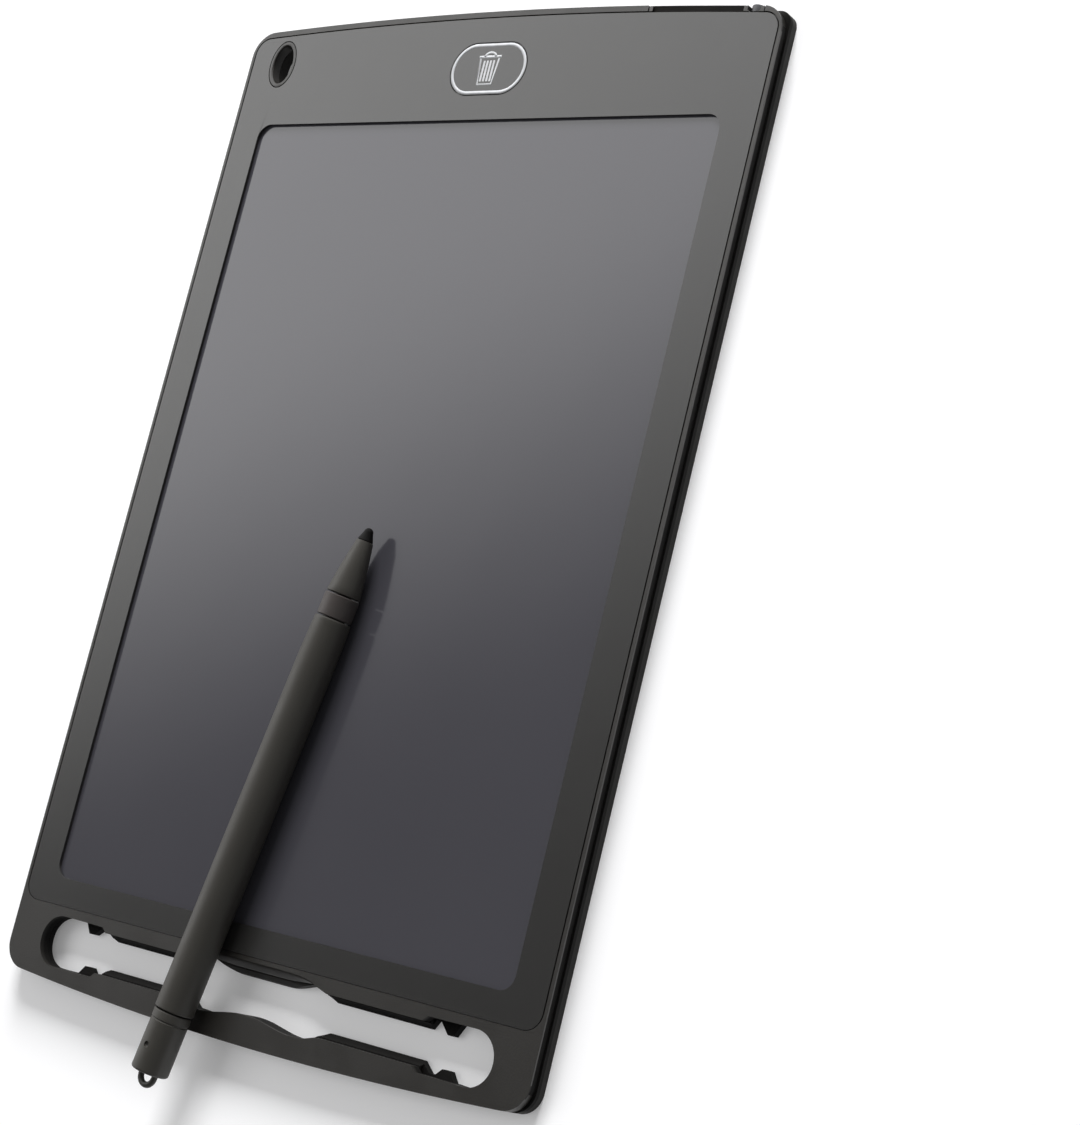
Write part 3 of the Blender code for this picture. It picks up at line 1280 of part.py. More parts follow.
bay_scoop = thumb_scoop()
make_rear_cover(bay_scoop)
make_front_frame(bay_scoop)
make_faceplate()
make_screen()
key_foot = make_erase_key()
make_board()
make_switch(key_foot)
make_driver_chip()
make_capacitors()
make_boost_coil()
make_flex()
make_contacts()
make_battery_tray()
make_stylus()
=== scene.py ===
"""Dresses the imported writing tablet: shells, faceplate, screen, erase key, battery tray and stylus.

The frame's own axes are used throughout: X to the tablet's right, Y to its top edge, Z out of its screen.
"""

import math

import bmesh
import bpy
from mathutils import Matrix, Vector

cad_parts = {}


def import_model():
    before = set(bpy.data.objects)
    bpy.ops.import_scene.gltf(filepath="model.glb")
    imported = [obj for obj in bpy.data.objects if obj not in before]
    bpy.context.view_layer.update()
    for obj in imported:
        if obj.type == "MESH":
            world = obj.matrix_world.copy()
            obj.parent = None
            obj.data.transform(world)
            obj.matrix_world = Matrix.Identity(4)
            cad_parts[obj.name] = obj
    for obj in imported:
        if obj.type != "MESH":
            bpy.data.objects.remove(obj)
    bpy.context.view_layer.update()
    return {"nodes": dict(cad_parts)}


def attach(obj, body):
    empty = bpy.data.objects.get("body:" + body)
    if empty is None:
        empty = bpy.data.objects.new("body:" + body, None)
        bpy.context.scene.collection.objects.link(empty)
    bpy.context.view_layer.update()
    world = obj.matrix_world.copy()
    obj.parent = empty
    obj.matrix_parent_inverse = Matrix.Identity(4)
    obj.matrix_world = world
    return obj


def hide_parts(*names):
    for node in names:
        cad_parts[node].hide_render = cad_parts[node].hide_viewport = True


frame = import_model()

MM = 0.001

# Tablet body: rear cover and front frame
HALF_WIDTH = 72.2 * MM
TOP = 112.0 * MM
BOTTOM = -112.0 * MM
FRONT = 5.0 * MM
TOP_CROWN = 2.4 * MM
BOTTOM_CROWN = 2.8 * MM
FRAME_CORNER = 5.8 * MM
REAR_TOP_CORNER = 3.0 * MM
REAR_BOTTOM_CORNER = 4.8 * MM
REAR_FLOOR = 1.0 * MM
REAR_DEPTH = 2.5 * MM
REAR_WALL = 1.6 * MM
REAR_EDGE_ROUND = 0.8 * MM
FRAME_LOW = 2.6 * MM
SEAM_GAP = 0.1 * MM
RIM_WIDTH = 0.75 * MM
TOP_RIM_WIDTH = 1.25 * MM
RIM_EDGE_ROUND = 0.35 * MM
SHELF_TOP = 4.3 * MM
SHELF_WIDTH = 4.95 * MM
SHELF_CORNER = 2.5 * MM
TOP_BAND = 5.0 * MM
SIDE_GROOVE_DEPTH = 0.5 * MM
SIDE_LIP_HEIGHT = 0.4 * MM
SIDE_GROOVE_TURN = math.radians(62)
SIDE_GROOVE_CLEAR = 0.1 * MM
RIB_WIDTH = 1.0 * MM
RIB_TOP = 2.95 * MM
LONG_RIB_REACH = 82.0 * MM
LONG_RIB_X = 43.5 * MM
LONG_RIBS = 3
CROSS_RIB_REACH = 59.2 * MM
CROSS_RIB_LOW = -61.3 * MM
CROSS_RIB_HIGH = 59.5 * MM
CROSS_RIBS = 4
BOARD_PINS = ((-26.8 * MM, 93.85 * MM), (-26.8 * MM, 103.45 * MM), (30.1 * MM, 103.45 * MM))
BOARD_POST_RADIUS = 1.6 * MM
BOARD_PIN_RADIUS = 0.7 * MM
BOARD_SEAT = 1.4 * MM
BOARD_PIN_TOP = 2.7 * MM

# Faceplate, window and screen
FACEPLATE_LOW = 4.4 * MM
FACEPLATE_BOTTOM = -94.6 * MM
FACEPLATE_GROOVE = 0.3 * MM
FACEPLATE_LOW_GROOVE = 0.12 * MM
FACEPLATE_CORNER = 4.0 * MM
FACEPLATE_EDGE = 0.15 * MM
WINDOW_EDGE = 0.35 * MM
WINDOW_X = -0.16 * MM
WINDOW_HALF_WIDTH = 63.36 * MM
WINDOW_TOP = 86.95 * MM
WINDOW_BOTTOM = -88.6 * MM
WINDOW_CORNER = 3.4 * MM
PANEL_TOP = 4.2 * MM
PANEL_LOW = 3.45 * MM
PANEL_BORDER = 1.85 * MM
PANEL_CORNER = 0.8 * MM
PANEL_EDGE = 0.1 * MM

# Pen bay
BAY_Y = -101.95 * MM
BAY_HALF_WIDTH = 5.45 * MM
BAY_HALF_LENGTH = 62.8 * MM
BAY_EDGE_ROUND = 0.6 * MM
TROUGH_GAP = 8.6 * MM
TROUGH_HEIGHT = 3.9 * MM
TROUGH_END_SLOPE = 1.2 * MM
LEDGE_GAP = 6.0 * MM
LEDGE_START = 19.5 * MM
LEDGE_END = 43.9 * MM
LEDGE_SLOPE = 3.3 * MM
LEDGE_LEAD_IN = 0.2 * MM
TROUGH_END = 45.4 * MM
NOTCH_LEAD_IN = 0.1 * MM
NOTCH_INSET = 0.5 * MM
UPPER_RIGHT_TOOTH = (49.1 * MM, 1.4 * MM, 2.75 * MM, 2.9 * MM, 1.1 * MM)
UPPER_LEFT_TOOTH = (51.6 * MM, 1.4 * MM, 3.2 * MM, 2.9 * MM, 1.1 * MM)
LOWER_TOOTH = (50.0 * MM, 1.9 * MM, 3.6 * MM, 2.3 * MM, 1.5 * MM)
TOOTH_RUN = 1.5 * MM
TOOTH_THICKNESS = 1.6 * MM
TOOTH_RELIEF = 0.25 * MM
BAY_END_FLARE = 1.4 * MM
UPPER_LIP_HALF = 16.0 * MM
UPPER_LIP_FLAT_SHARE = 0.4
UPPER_LIP_GAP = 3.5 * MM
LOWER_LIP_HALF = 13.0 * MM
LOWER_LIP_REACH = 1.55 * MM
SCOOP_REACH = 1.05 * MM
SCOOP_LOW = 0.9 * MM
SCOOP_EDGE = 0.3 * MM
SCOOP_ROLL = 0.3 * MM
SCOOP_FULLNESS = 6
SCOOP_RUN = BAY_HALF_WIDTH + SCOOP_REACH - UPPER_LIP_GAP

# Lanyard hole
LANYARD = (-61.8 * MM, 101.85 * MM)
LANYARD_HOLE = (5.6 * MM, 9.2 * MM)
LANYARD_WALL = 0.95 * MM
LANYARD_GAP = 0.22 * MM
LANYARD_WEB = 1.0 * MM
LANYARD_ROUND = 0.35 * MM

# Erase key and its print
KEY_Y = 98.65 * MM
KEY_WIDTH = 20.5 * MM
KEY_HEIGHT = 11.9 * MM
KEY_GAP = 0.2 * MM
KEY_FLANGE = 0.95 * MM
KEY_FLANGE_TOP = 4.3 * MM
KEY_FLANGE_LOW = 3.95 * MM
KEY_BOSS_RADIUS = 1.5 * MM
KEY_BOSS_LOW = 3.65 * MM
KEY_EDGE = 0.18 * MM
PRINT_STROKE = 0.72 * MM
PRINT_FINE_STROKE = 0.5 * MM
PRINT_LID_STROKE = 0.6 * MM
PRINT_THICKNESS = 0.012 * MM
PRINT_INSET = 0.12 * MM
BIN_X = -0.2 * MM
BIN_LID_Y = 2.75 * MM
BIN_LID_HALF = 3.0 * MM
BIN_HANDLE_HALF = 1.5 * MM
BIN_HANDLE_RISE = 1.0 * MM
BIN_BODY_TOP_HALF = 2.55 * MM
BIN_BODY_LOW_HALF = 1.95 * MM
BIN_BODY_LOW_Y = -3.6 * MM
BIN_RIB_TOP_Y = 1.9 * MM
BIN_RIB_LOW_Y = -2.9 * MM
BIN_RIB_HALF_SPREAD = 1.3 * MM
BIN_RIBS = 4

# Battery tray and screw
CELL = (50.65 * MM, 98.6 * MM)
CELL_RADIUS = 10.0 * MM
TRAY_HALF_WIDTH = 11.15 * MM
TRAY_HOLD = 8.1 * MM
TRAY_LOW = 1.1 * MM
TRAY_TOP = 3.0 * MM
TRAY_FLOOR = 0.3 * MM
TRAY_CELL_GAP = 0.2 * MM
TRAY_SIDE_GAP = 0.4 * MM
TRAY_HEADROOM = 0.45 * MM
TRAY_EDGE = 0.2 * MM
PUSH_HOLE_RADIUS = 3.0 * MM
CAP_LEFT = 38.8 * MM
CAP_RIGHT = 66.9 * MM
CAP_INNER = 107.7 * MM
CAP_GAP = 0.3 * MM
CAP_TOP = 4.9 * MM
NAIL_SLOT = (39.65 * MM, 62.1 * MM)
NAIL_SLOT_LOW = 4.3 * MM
NAIL_SLOT_LIP = 0.12 * MM
NAIL_SLOT_RUN = 1.1 * MM
SCREW_X = 64.5 * MM
SCREW_Z = 3.2 * MM
SCREW_NOTCH_WIDTH = 3.1 * MM
SCREW_NOTCH_DEPTH = 1.35 * MM
SCREW_NOTCH_CORNER = 0.7 * MM
SCREW_NOTCH_FLOOR_GAP = 0.2 * MM
SCREW_HEAD_RADIUS = 1.4 * MM
SCREW_HEAD_LENGTH = 1.6 * MM
SCREW_HEAD_ROUND = 0.25 * MM
SCREW_SHANK_RADIUS = 0.65 * MM
SCREW_SHANK_LENGTH = 4.6 * MM
SCREW_THREAD_DEPTH = 0.12 * MM
SCREW_THREAD_PITCH = 0.4 * MM
SCREW_BORE_GAP = 0.25 * MM
SCREW_RECESS_HALF = 0.7 * MM
SCREW_RECESS_WIDTH = 0.34 * MM
SCREW_RECESS_DEPTH = 0.4 * MM
BOSS_WIDTH = 3.6 * MM
BOSS_LENGTH = 4.7 * MM
BORE_REACH = 6.0 * MM

# Stylus, measured along its length from the tip of the nib
STYLUS_TIP = (2.8 * MM, -4.6904 * MM)
STYLUS_TURN = math.radians(9.4)
STYLUS_REST_GAP = 0.15 * MM
STYLUS_SEAT = 4.1 * MM
STYLUS_RADIUS = 4.1 * MM
STYLUS_FRONT_RADIUS = 3.85 * MM
STYLUS_BORE = 2.6 * MM
RING_GAP = 0.3 * MM
RING_EDGE = 0.22 * MM
FIT_GAP = 0.1 * MM
STYLUS_SPIGOT = STYLUS_BORE - FIT_GAP
NIB_LENGTH = 2.9 * MM
NIB_TIP_RADIUS = 1.0 * MM
NIB_RADIUS = 1.65 * MM
NIB_SHANK_RADIUS = 1.05 * MM
NIB_SHANK_LENGTH = 6.0 * MM
NOSE_END = 15.0 * MM
NOSE_FRONT_RADIUS = 1.8 * MM
NOSE_REAR_RADIUS = 3.6 * MM
NOSE_SWELL = 0.12 * MM
NOSE_SPIGOT_RADIUS = 1.9 * MM
NOSE_SPIGOT_LENGTH = 4.0 * MM
COLLAR_END = 20.1 * MM
COLLAR_RADIUS = 3.7 * MM
SPIGOT_LENGTH = 7.0 * MM
BARREL_END = 105.6 * MM
BARREL_SHOULDER = 12.0 * MM
TAIL_END = 118.6 * MM
TAIL_RADIUS = 3.95 * MM
TAIL_BAND = 1.9 * MM
TAIL_GROOVE_WIDTH = 0.5 * MM
TAIL_GROOVE_TURN = (math.pi * 0.6, math.pi * 1.4)
TAIL_ROUND = 0.55 * MM
LOOP_RADIUS = 1.9 * MM
LOOP_WIRE = 0.65 * MM
DIMPLE_AT = 113.1 * MM
DIMPLE_RADIUS = 0.65 * MM
DIMPLE_DEPTH = 0.5 * MM

# How finely shapes are divided
OVERRUN = 1.0 * MM
WELD = 0.002 * MM
CORNER_STEPS = 16
BOW_STEPS = 48
HOLE_STEPS = 64
LIP_STEPS = 16
TURN_STEPS = 96
ROUND_STEPS = 4
SHARP_ANGLE = math.radians(35)

# Directions, and turns of a shape's own axes
TO_RIGHT = (1, 0, 0)
TO_TOP = (0, 1, 0)
TO_FRONT = (0, 0, 1)
TURN_TO_TOP = Matrix.Rotation(-math.pi / 2, 4, "X")
PROFILE_ACROSS = Matrix(((0, 0, 1, 0), (1, 0, 0, 0), (0, 1, 0, 0), (0, 0, 0, 1)))

# Photograph's viewpoint
CAMERA_PLACE = (0.32986, -0.08149, 0.36974)
CAMERA_RIGHT = (0.78923, 0.23541, -0.56719)
CAMERA_UP = (-0.09312, 0.95880, 0.26837)
CAMERA_AHEAD = (-0.60700, 0.15899, -0.77864)
CAMERA_LENS = 76.78
CAMERA_SENSOR = 36.0
CAMERA_CLIP = (0.01, 10.0)

# Studio: floor, world with its graded card, and softboxes as (place, side in metres, watts)
FLOOR_HALF = 3.0
FLOOR_LEVEL = -0.05 * MM
FLOOR_COLOUR = (0.87, 0.87, 0.88)
FLOOR_GLOW = 0.14
FLOOR_FAR_GLOW = 0.55
FLOOR_FAR = (0.4, 1.8)
WORLD_LEVEL = 0.32
CARD_DARK = 0.12
CARD_BRIGHT = 2.62
CARD_LEAN = (-0.37, 0.93)
CARD_START = 0.39
CARD_END = 0.69
CARD_HIGH_EDGE = (0.45, 0.87)
CARD_HIGH_SHARE = 0.1
CARD_LOW_EDGE = (1.7, 2.7)
CARD_LOW_SHARE = 0.42
LEAST_RISE = 0.05
SOFTBOXES = {"key_box": ((0.0, 1.55, 0.75), 0.7, 45.0), "fill_box": ((-0.9, -0.1, 1.1), 0.9, 5.0)}

# Colours, as linear light
SHELL_COLOUR = (0.0165, 0.0153, 0.0136)
REAR_COLOUR = (0.0120, 0.0110, 0.0098)
FACE_COLOUR = (0.0200, 0.0195, 0.0187)
SCREEN_COLOUR = (0.0510, 0.0500, 0.0590)
STYLUS_COLOUR = (0.0350, 0.0330, 0.0285)
COLLAR_COLOUR = (0.0430, 0.0370, 0.0350)
NIB_COLOUR = (0.003, 0.0028, 0.0028)
PRINT_COLOUR = (0.62, 0.63, 0.65)
SCREW_COLOUR = (0.13, 0.13, 0.135)
BOARD_GREEN = (0.02, 0.13, 0.05)
TRACK_GREEN = (0.03, 0.2, 0.08)
FLEX_AMBER = (0.42, 0.19, 0.04)
FLEX_LINE = (0.6, 0.3, 0.08)
NICKEL_COLOUR = (0.65, 0.62, 0.55)
CELL_COLOUR = (0.74, 0.74, 0.73)

# Where shade is painted into the grooves and pen bay as a darker, duller colour, and how much
PAINTED_SHADE_TONE = 0.3
HOLLOW_ROUGHNESS = 0.8
HOLLOW_FADE = 0.08 * MM
GROOVE_SHADE = (1.6 * MM, 4.75 * MM)
GROOVE_SHADE_DEPTH = 0.7 * MM
GROOVE_SHADE_TURN = (0.45, 0.8)
BAY_SHADE_TOP = (3.6 * MM, 4.6 * MM)

# Noise, as (detail, roughness)
SHARP_NOISE = (3.0, 0.6)
RICH_NOISE = (4.0, 0.6)
FLOW_NOISE = (3.0, 0.55)
MARK_NOISE = (3.0, 0.65)
RIPPLE_NOISE = (2.0, 0.4)

# Moulded plastic: its patterns' scales (by the grain's, or per metre), ranges and shares
FINE_GRAIN = 2.3
SPECK_GRAIN = 0.6
SPECK_RANGE = (0.58, 0.75)
FLOW_SCALE = 34.0
FLOW_TURN = (0, 0, 0.5)
HANDLED_SCALE = 95.0
HANDLED_RANGE = (0.42, 0.62)
NOISE_MIDDLE = 0.5
TONE_START = 0.3
FLOW_TONE = 0.5
FINE_TONE = 0.28
SPECK_TONE = 0.2
PLASTIC_SHADES = (0.9, 1.12)
GLOSS_VARIES = 0.05
GRAIN_HEIGHT = 0.7

# Writing panel and printed ink
SCREEN_SHINE = 0.62
SCREEN_ROUGHNESS = 0.1
SCREEN_MARKS = 0.03
SCREEN_SHADES = (0.93, 1.07)
SCREEN_RELIEF = 0.01 * MM
RIPPLE_SCALE = 26.0
RIPPLE_HEIGHT = 4.0
RUB_SCALE = 900.0
RUB_STRETCH = (0.35, 0.2, 1.6)
RUB_RANGE = (0.56, 0.72)
FILM_SCALE = 2600.0
FILM_HEIGHT = 0.06
INK_SPECKLE_SCALE = 5200.0
INK_WEAR_SCALE = 700.0
INK_WEAR_RANGE = (0.35, 0.7)
INK_DARK = 0.86
INK_ROUGHNESS = 0.5

# Metal, films and other hidden parts, the plain ones as (name, colour, roughness, grain scale, depth)
STAIN_SCALE = 160.0
METAL_DARK = 0.8
METAL_MARK_DEPTH = 0.006 * MM
STRIPE_FADE = 0.06
WEAVE_SCALE = 2400.0
WEAVE_SHADES = (0.85, 1.15)
PATCH_GRAIN = 0.12
GRAIN_SHADES = (0.8, 1.2)
HIDDEN_FINISHES = {
    "adhesive_frame": ("foam_tape", (0.02, 0.02, 0.02), 0.75, 2600.0, 0.02 * MM),
    "panel_backing": ("black_backing_film", (0.012, 0.012, 0.012), 0.55, 900.0, 0.01 * MM),
    "switch_body": ("black_switch_plastic", (0.03, 0.03, 0.03), 0.45, 3000.0, 0.01 * MM),
    "switch_plunger": ("white_plunger_plastic", (0.75, 0.74, 0.7), 0.35, 3000.0, 0.006 * MM),
    "driver_chip": ("chip_resin", (0.02, 0.02, 0.022), 0.45, 4200.0, 0.012 * MM),
    "capacitor_1": ("tan_ceramic", (0.5, 0.36, 0.22), 0.4, 3600.0, 0.01 * MM),
    "boost_coil": ("grey_ferrite", (0.08, 0.08, 0.085), 0.5, 2800.0, 0.015 * MM),
    "flex_connector": ("ivory_connector_nylon", (0.7, 0.66, 0.55), 0.45, 3200.0, 0.01 * MM),
}


def bow_radius(crown):
    """Radius of an edge that rises by the crown over the tablet's half width."""
    return (HALF_WIDTH**2 + crown**2) / (2 * crown)


TOP_BOW = bow_radius(TOP_CROWN)
BOTTOM_BOW = bow_radius(BOTTOM_CROWN)


def arc(centre, radius, start, end, steps):
    """Points of an arc between two angles, both ends included."""
    turns = [start + (end - start) * step / steps for step in range(steps + 1)]
    return [(centre[0] + radius * math.cos(a), centre[1] + radius * math.sin(a)) for a in turns]


def corner_of(half_width, edge, bow, radius):
    """Height of a corner's centre, and the angle at which the corner meets the bowed edge."""
    if not bow:
        return edge - radius, math.pi / 2
    run = half_width - radius
    rise = math.sqrt((bow - radius) ** 2 - run**2)
    return edge - bow + rise, math.atan2(rise, run)


# How far above and below the middle the centres of the frame's corners lie
TOP_CORNER_Y, _ = corner_of(HALF_WIDTH, TOP, TOP_BOW, FRAME_CORNER)
BOTTOM_CORNER_Y, _ = corner_of(HALF_WIDTH, -BOTTOM, BOTTOM_BOW, FRAME_CORNER)


def edge_run(half_width, edge, bow, radius):
    """The upper half of an outline, from its right side over the top to its left side."""
    height, meet = corner_of(half_width, edge, bow, radius)
    run = half_width - radius
    points = arc((run, height), radius, 0, meet, CORNER_STEPS)
    if bow:
        points += arc((0, edge - bow), bow, meet, math.pi - meet, BOW_STEPS)[1:-1]
    return points + arc((-run, height), radius, math.pi - meet, math.pi, CORNER_STEPS)


def outline(half_width, top, bottom, radius, top_bow=0, bottom_bow=0, low_radius=0):
    """A rectangle with round corners whose top and bottom edges may be bowed, anticlockwise."""
    lower = edge_run(half_width, -bottom, bottom_bow, low_radius or radius)
    return edge_run(half_width, top, top_bow, radius) + [(-x, -y) for x, y in lower]


def tablet_outline(top_corner, bottom_corner):
    return outline(HALF_WIDTH, TOP, BOTTOM, top_corner, TOP_BOW, BOTTOM_BOW, bottom_corner)


def groove_corner(height, side):
    """A side groove's inner and outer points round a corner, where the groove runs out.

    The side is 1 for the top corner and -1 for the bottom one.
    """
    inner = []
    outer = []
    for step in range(CORNER_STEPS + 1):
        share = step / CORNER_STEPS
        turn = SIDE_GROOVE_TURN * share
        depth = (SIDE_GROOVE_DEPTH + SIDE_GROOVE_CLEAR) * math.cos(math.pi / 2 * share)
        inner_radius = FRAME_CORNER + SIDE_GROOVE_CLEAR - depth
        for points, radius in ((inner, inner_radius), (outer, FRAME_CORNER + OVERRUN)):
            x = HALF_WIDTH - FRAME_CORNER + radius * math.cos(turn)
            points.append((x, side * (height + radius * math.sin(turn))))
    return inner, outer


def side_groove():
    """The outline of the groove along the right side."""
    top_inner, top_outer = groove_corner(TOP_CORNER_Y, 1)
    bottom_inner, bottom_outer = groove_corner(BOTTOM_CORNER_Y, -1)
    return bottom_inner[::-1] + top_inner + top_outer[::-1] + bottom_outer


def plate_outline(inset, low_inset):
    """The outline of the faceplate's recess, moved inwards from the rim's inner edge and its lower edge."""
    side = HALF_WIDTH - RIM_WIDTH - inset
    top_rim = TOP_RIM_WIDTH + inset
    bottom = FACEPLATE_BOTTOM + low_inset
    return outline(side, TOP - top_rim, bottom, FACEPLATE_CORNER - inset, TOP_BOW - top_rim)


def window_outline(margin, corner=WINDOW_CORNER):
    loop = outline(WINDOW_HALF_WIDTH + margin, WINDOW_TOP + margin, WINDOW_BOTTOM - margin, corner)
    return moved(loop, WINDOW_X, 0)


def top_edge(x):
    """Height of the tablet's top edge at x."""
    past = abs(x) - (HALF_WIDTH - FRAME_CORNER)
    if past > 0:
        return TOP_CORNER_Y + math.sqrt(FRAME_CORNER**2 - past**2)
    return TOP - TOP_BOW + math.sqrt(TOP_BOW**2 - x**2)


def moved(points, x, y):
    return [(px + x, py + y) for px, py in points]


def box_outline(left, right, low, high):
    return [(left, low), (right, low), (right, high), (left, high)]


def stadium(width, height):
    """A stadium about the origin, with round ends left and right."""
    radius = height / 2
    right = arc((width / 2 - radius, 0), radius, -math.pi / 2, math.pi / 2, 2 * CORNER_STEPS)
    return right + [(-x, -y) for x, y in right]


def key_outline(margin):
    return moved(stadium(KEY_WIDTH + 2 * margin, KEY_HEIGHT + 2 * margin), 0, KEY_Y)


def lanyard_oval(wall):
    """The lanyard hole's outline with a wall around it."""
    turns = [2 * math.pi * step / HOLE_STEPS for step in range(HOLE_STEPS)]
    wide, tall = (size / 2 + wall for size in LANYARD_HOLE)
    return moved([(wide * math.cos(a), tall * math.sin(a)) for a in turns], *LANYARD)


def bay_side(run_gap, tooth, lip_half, lip_reach, flat_share=0):
    """Half of one side of the pen bay, as (distance from the middle, distance from the centre line).

    A tooth is given by its centre, the width of its tip, the tip's distance from the centre line,
    how far before its centre its notch starts to rise, and the notch's width.
    """
    side = []
    for step in range(LIP_STEPS):
        share = step / LIP_STEPS
        swell = math.cos(math.pi / 2 * share) ** 2
        side.append((lip_half * (flat_share + (1 - flat_share) * share), BAY_HALF_WIDTH - lip_reach * swell))
    run = run_gap / 2
    side += [(LEDGE_START - LEDGE_SLOPE, BAY_HALF_WIDTH - LEDGE_LEAD_IN), (LEDGE_START, run)]
    if not tooth:
        return side + [(TROUGH_END - TROUGH_END_SLOPE, run), (TROUGH_END, BAY_HALF_WIDTH - NOTCH_LEAD_IN)]
    centre, tip, height, before, notch = tooth
    notch_side = BAY_HALF_WIDTH - NOTCH_INSET
    return side + [
        (LEDGE_END, run),
        (centre - before - notch, notch_side),
        (centre - before, notch_side),
        (centre - tip / 2, height),
        (centre + tip / 2, height),
        (centre + tip / 2 + TOOTH_RUN, BAY_HALF_WIDTH),
    ]


def bay_outline(upper, lower, upper_left=()):
    """The pen bay's closed outline from its sides, with round ends. The upper left may differ."""
    bulb = BAY_HALF_LENGTH - BAY_HALF_WIDTH
    points = [(x, -gap) for x, gap in lower]
    points += arc((bulb, 0), BAY_HALF_WIDTH, -math.pi / 2, math.pi / 2, 2 * CORNER_STEPS)
    points += [(x, gap) for x, gap in reversed(upper)]
    points += [(-x, gap) for x, gap in upper_left or upper if x]
    points += arc((-bulb, 0), BAY_HALF_WIDTH, math.pi / 2, 1.5 * math.pi, 2 * CORNER_STEPS)
    points += [(-x, -gap) for x, gap in reversed(lower) if x]
    return moved(points, 0, BAY_Y)


def add(name, mesh):
    made = bpy.data.objects.new(name, mesh)
    bpy.context.scene.collection.objects.link(made)
    return made


def write(work, mesh, outwards):
    """Ends a mesh's making, its faces turned outwards where that is asked."""
    if outwards:
        bmesh.ops.recalc_face_normals(work, faces=work.faces)
    work.to_mesh(mesh)
    work.free()


def solid(name, work, outwards=True):
    mesh = bpy.data.meshes.new(name)
    write(work, mesh, outwards)
    return add(name, mesh)


def weld(mesh, outwards=False):
    work = bmesh.new()
    work.from_mesh(mesh)
    bmesh.ops.remove_doubles(work, verts=work.verts, dist=WELD)
    write(work, mesh, outwards)


def evaluated_mesh(source):
    """The plain mesh that an object's curve or modifiers come to."""
    graph = bpy.context.evaluated_depsgraph_get()
    return bpy.data.meshes.new_from_object(source.evaluated_get(graph), depsgraph=graph)


def bridge(work, one, two, closed=False):
    """Faces between two rows of corners, which may close to rings. A row may be a single point."""
    steps = max(len(one), len(two))
    for step in range(steps if closed else steps - 1):
        after = (step + 1) % steps
        corners = [one[step % len(one)], two[step % len(two)], two[after % len(two)], one[after % len(one)]]
        corners = list(dict.fromkeys(corners))
        if len(corners) > 2:
            work.faces.new(corners)


def curve_mesh(name, lines, closed, **settings):
    """The welded mesh of a curve that follows lines of points."""
    curve = bpy.data.curves.new(name, "CURVE")
    for setting, value in settings.items():
        setattr(curve, setting, value)
    for points in lines:
        spline = curve.splines.new("POLY")
        spline.points.add(len(points) - 1)
        for place, point in zip(spline.points, points):
            place.co = (*point, 1)
        spline.use_cyclic_u = closed
    shape = add(name + "_curve", curve)
    mesh = evaluated_mesh(shape)
    bpy.data.objects.remove(shape)
    bpy.data.curves.remove(curve)
    weld(mesh)
    return mesh


def prism(name, loops, low, high):
    """A flat piece between two heights, from an outline and any holes in it."""
    lines = [[(x, y, 0) for x, y in points] for points in loops]
    mesh = curve_mesh(name, lines, True, dimensions="2D", fill_mode="BOTH", extrude=(high - low) / 2)
    mesh.transform(Matrix.Translation((0, 0, (low + high) / 2)))
    return add(name, mesh)


def block(name, left, right, low_y, high_y, low, high):
    return prism(name, [box_outline(left, right, low_y, high_y)], low, high)


def wire(name, points, radius):
    """A round wire along a line of points, its ends closed."""
    bevel = {"bevel_depth": radius, "bevel_resolution": 2 * ROUND_STEPS, "use_fill_caps": True}
    return add(name, curve_mesh(name, [points], False, dimensions="3D", **bevel))


def turned(name, profile, place=Matrix(), steps=TURN_STEPS):
    """A closed solid of revolution about its own Z axis, from (radius, height) points, put in place."""
    work = bmesh.new()
    turns = [2 * math.pi * step / steps for step in range(steps)]
    rings = []
    for radius, height in profile:
        at_pole = radius < WELD
        corners = [(0, 0)] if at_pole else [(radius * math.cos(a), radius * math.sin(a)) for a in turns]
        rings.append([work.verts.new((x, y, height)) for x, y in corners])
    if len(rings[0]) > 1:
        rings.append(rings[0])
    for one, two in zip(rings, rings[1:]):
        bridge(work, one, two, True)
    made = solid(name, work)
    made.data.transform(place)
    return made


def rod(name, radius, start, ahead, length, steps=HOLE_STEPS):
    """A plain cylinder from a point, along a direction."""
    place = Matrix.Translation(start) @ Vector(ahead).to_track_quat("Z", "Y").to_matrix().to_4x4()
    return turned(name, [(0, length), (radius, length), (radius, 0), (0, 0)], place, steps)


def change(target, operation, others):
    """Makes a Boolean's result the target's own mesh, and removes the shapes it was made with."""
    for other in others:
        modifier = target.modifiers.new(other.name, "BOOLEAN")
        modifier.operation = operation
        modifier.object = other
        modifier.solver = "EXACT"
    apply_modifiers(target)
    for other in others:
        bpy.data.objects.remove(other)


def apply_modifiers(target):
    mesh = evaluated_mesh(target)
    target.modifiers.clear()
    target.data = mesh


def cut(target, *others):
    change(target, "DIFFERENCE", others)


def join(target, *others):
    change(target, "UNION", others)


def round_edges(target, width, steps, weight_of):
    """Bevels the sharp edges to which weight_of gives a share of the width, from their two corners."""
    work = bmesh.new()
    work.from_mesh(target.data)
    layer = work.edges.layers.float.new("bevel_weight_edge")
    for edge in work.edges:
        if edge.calc_face_angle(0) > SHARP_ANGLE:
            edge[layer] = float(weight_of(*[corner.co for corner in edge.verts]))
    write(work, target.data, False)
    bevel = target.modifiers.new("Round", "BEVEL")
    bevel.limit_method = "WEIGHT"
    bevel.width = width
    bevel.segments = steps
    apply_modifiers(target)


def shade(target):
    """Smooth shading whose normals follow the large faces, with the sharp edges kept."""
    target.data.shade_smooth()
    target.data.set_sharp_from_angle(angle=SHARP_ANGLE)
    modifier = target.modifiers.new("Normals", "WEIGHTED_NORMAL")
    modifier.keep_sharp = True
    apply_modifiers(target)


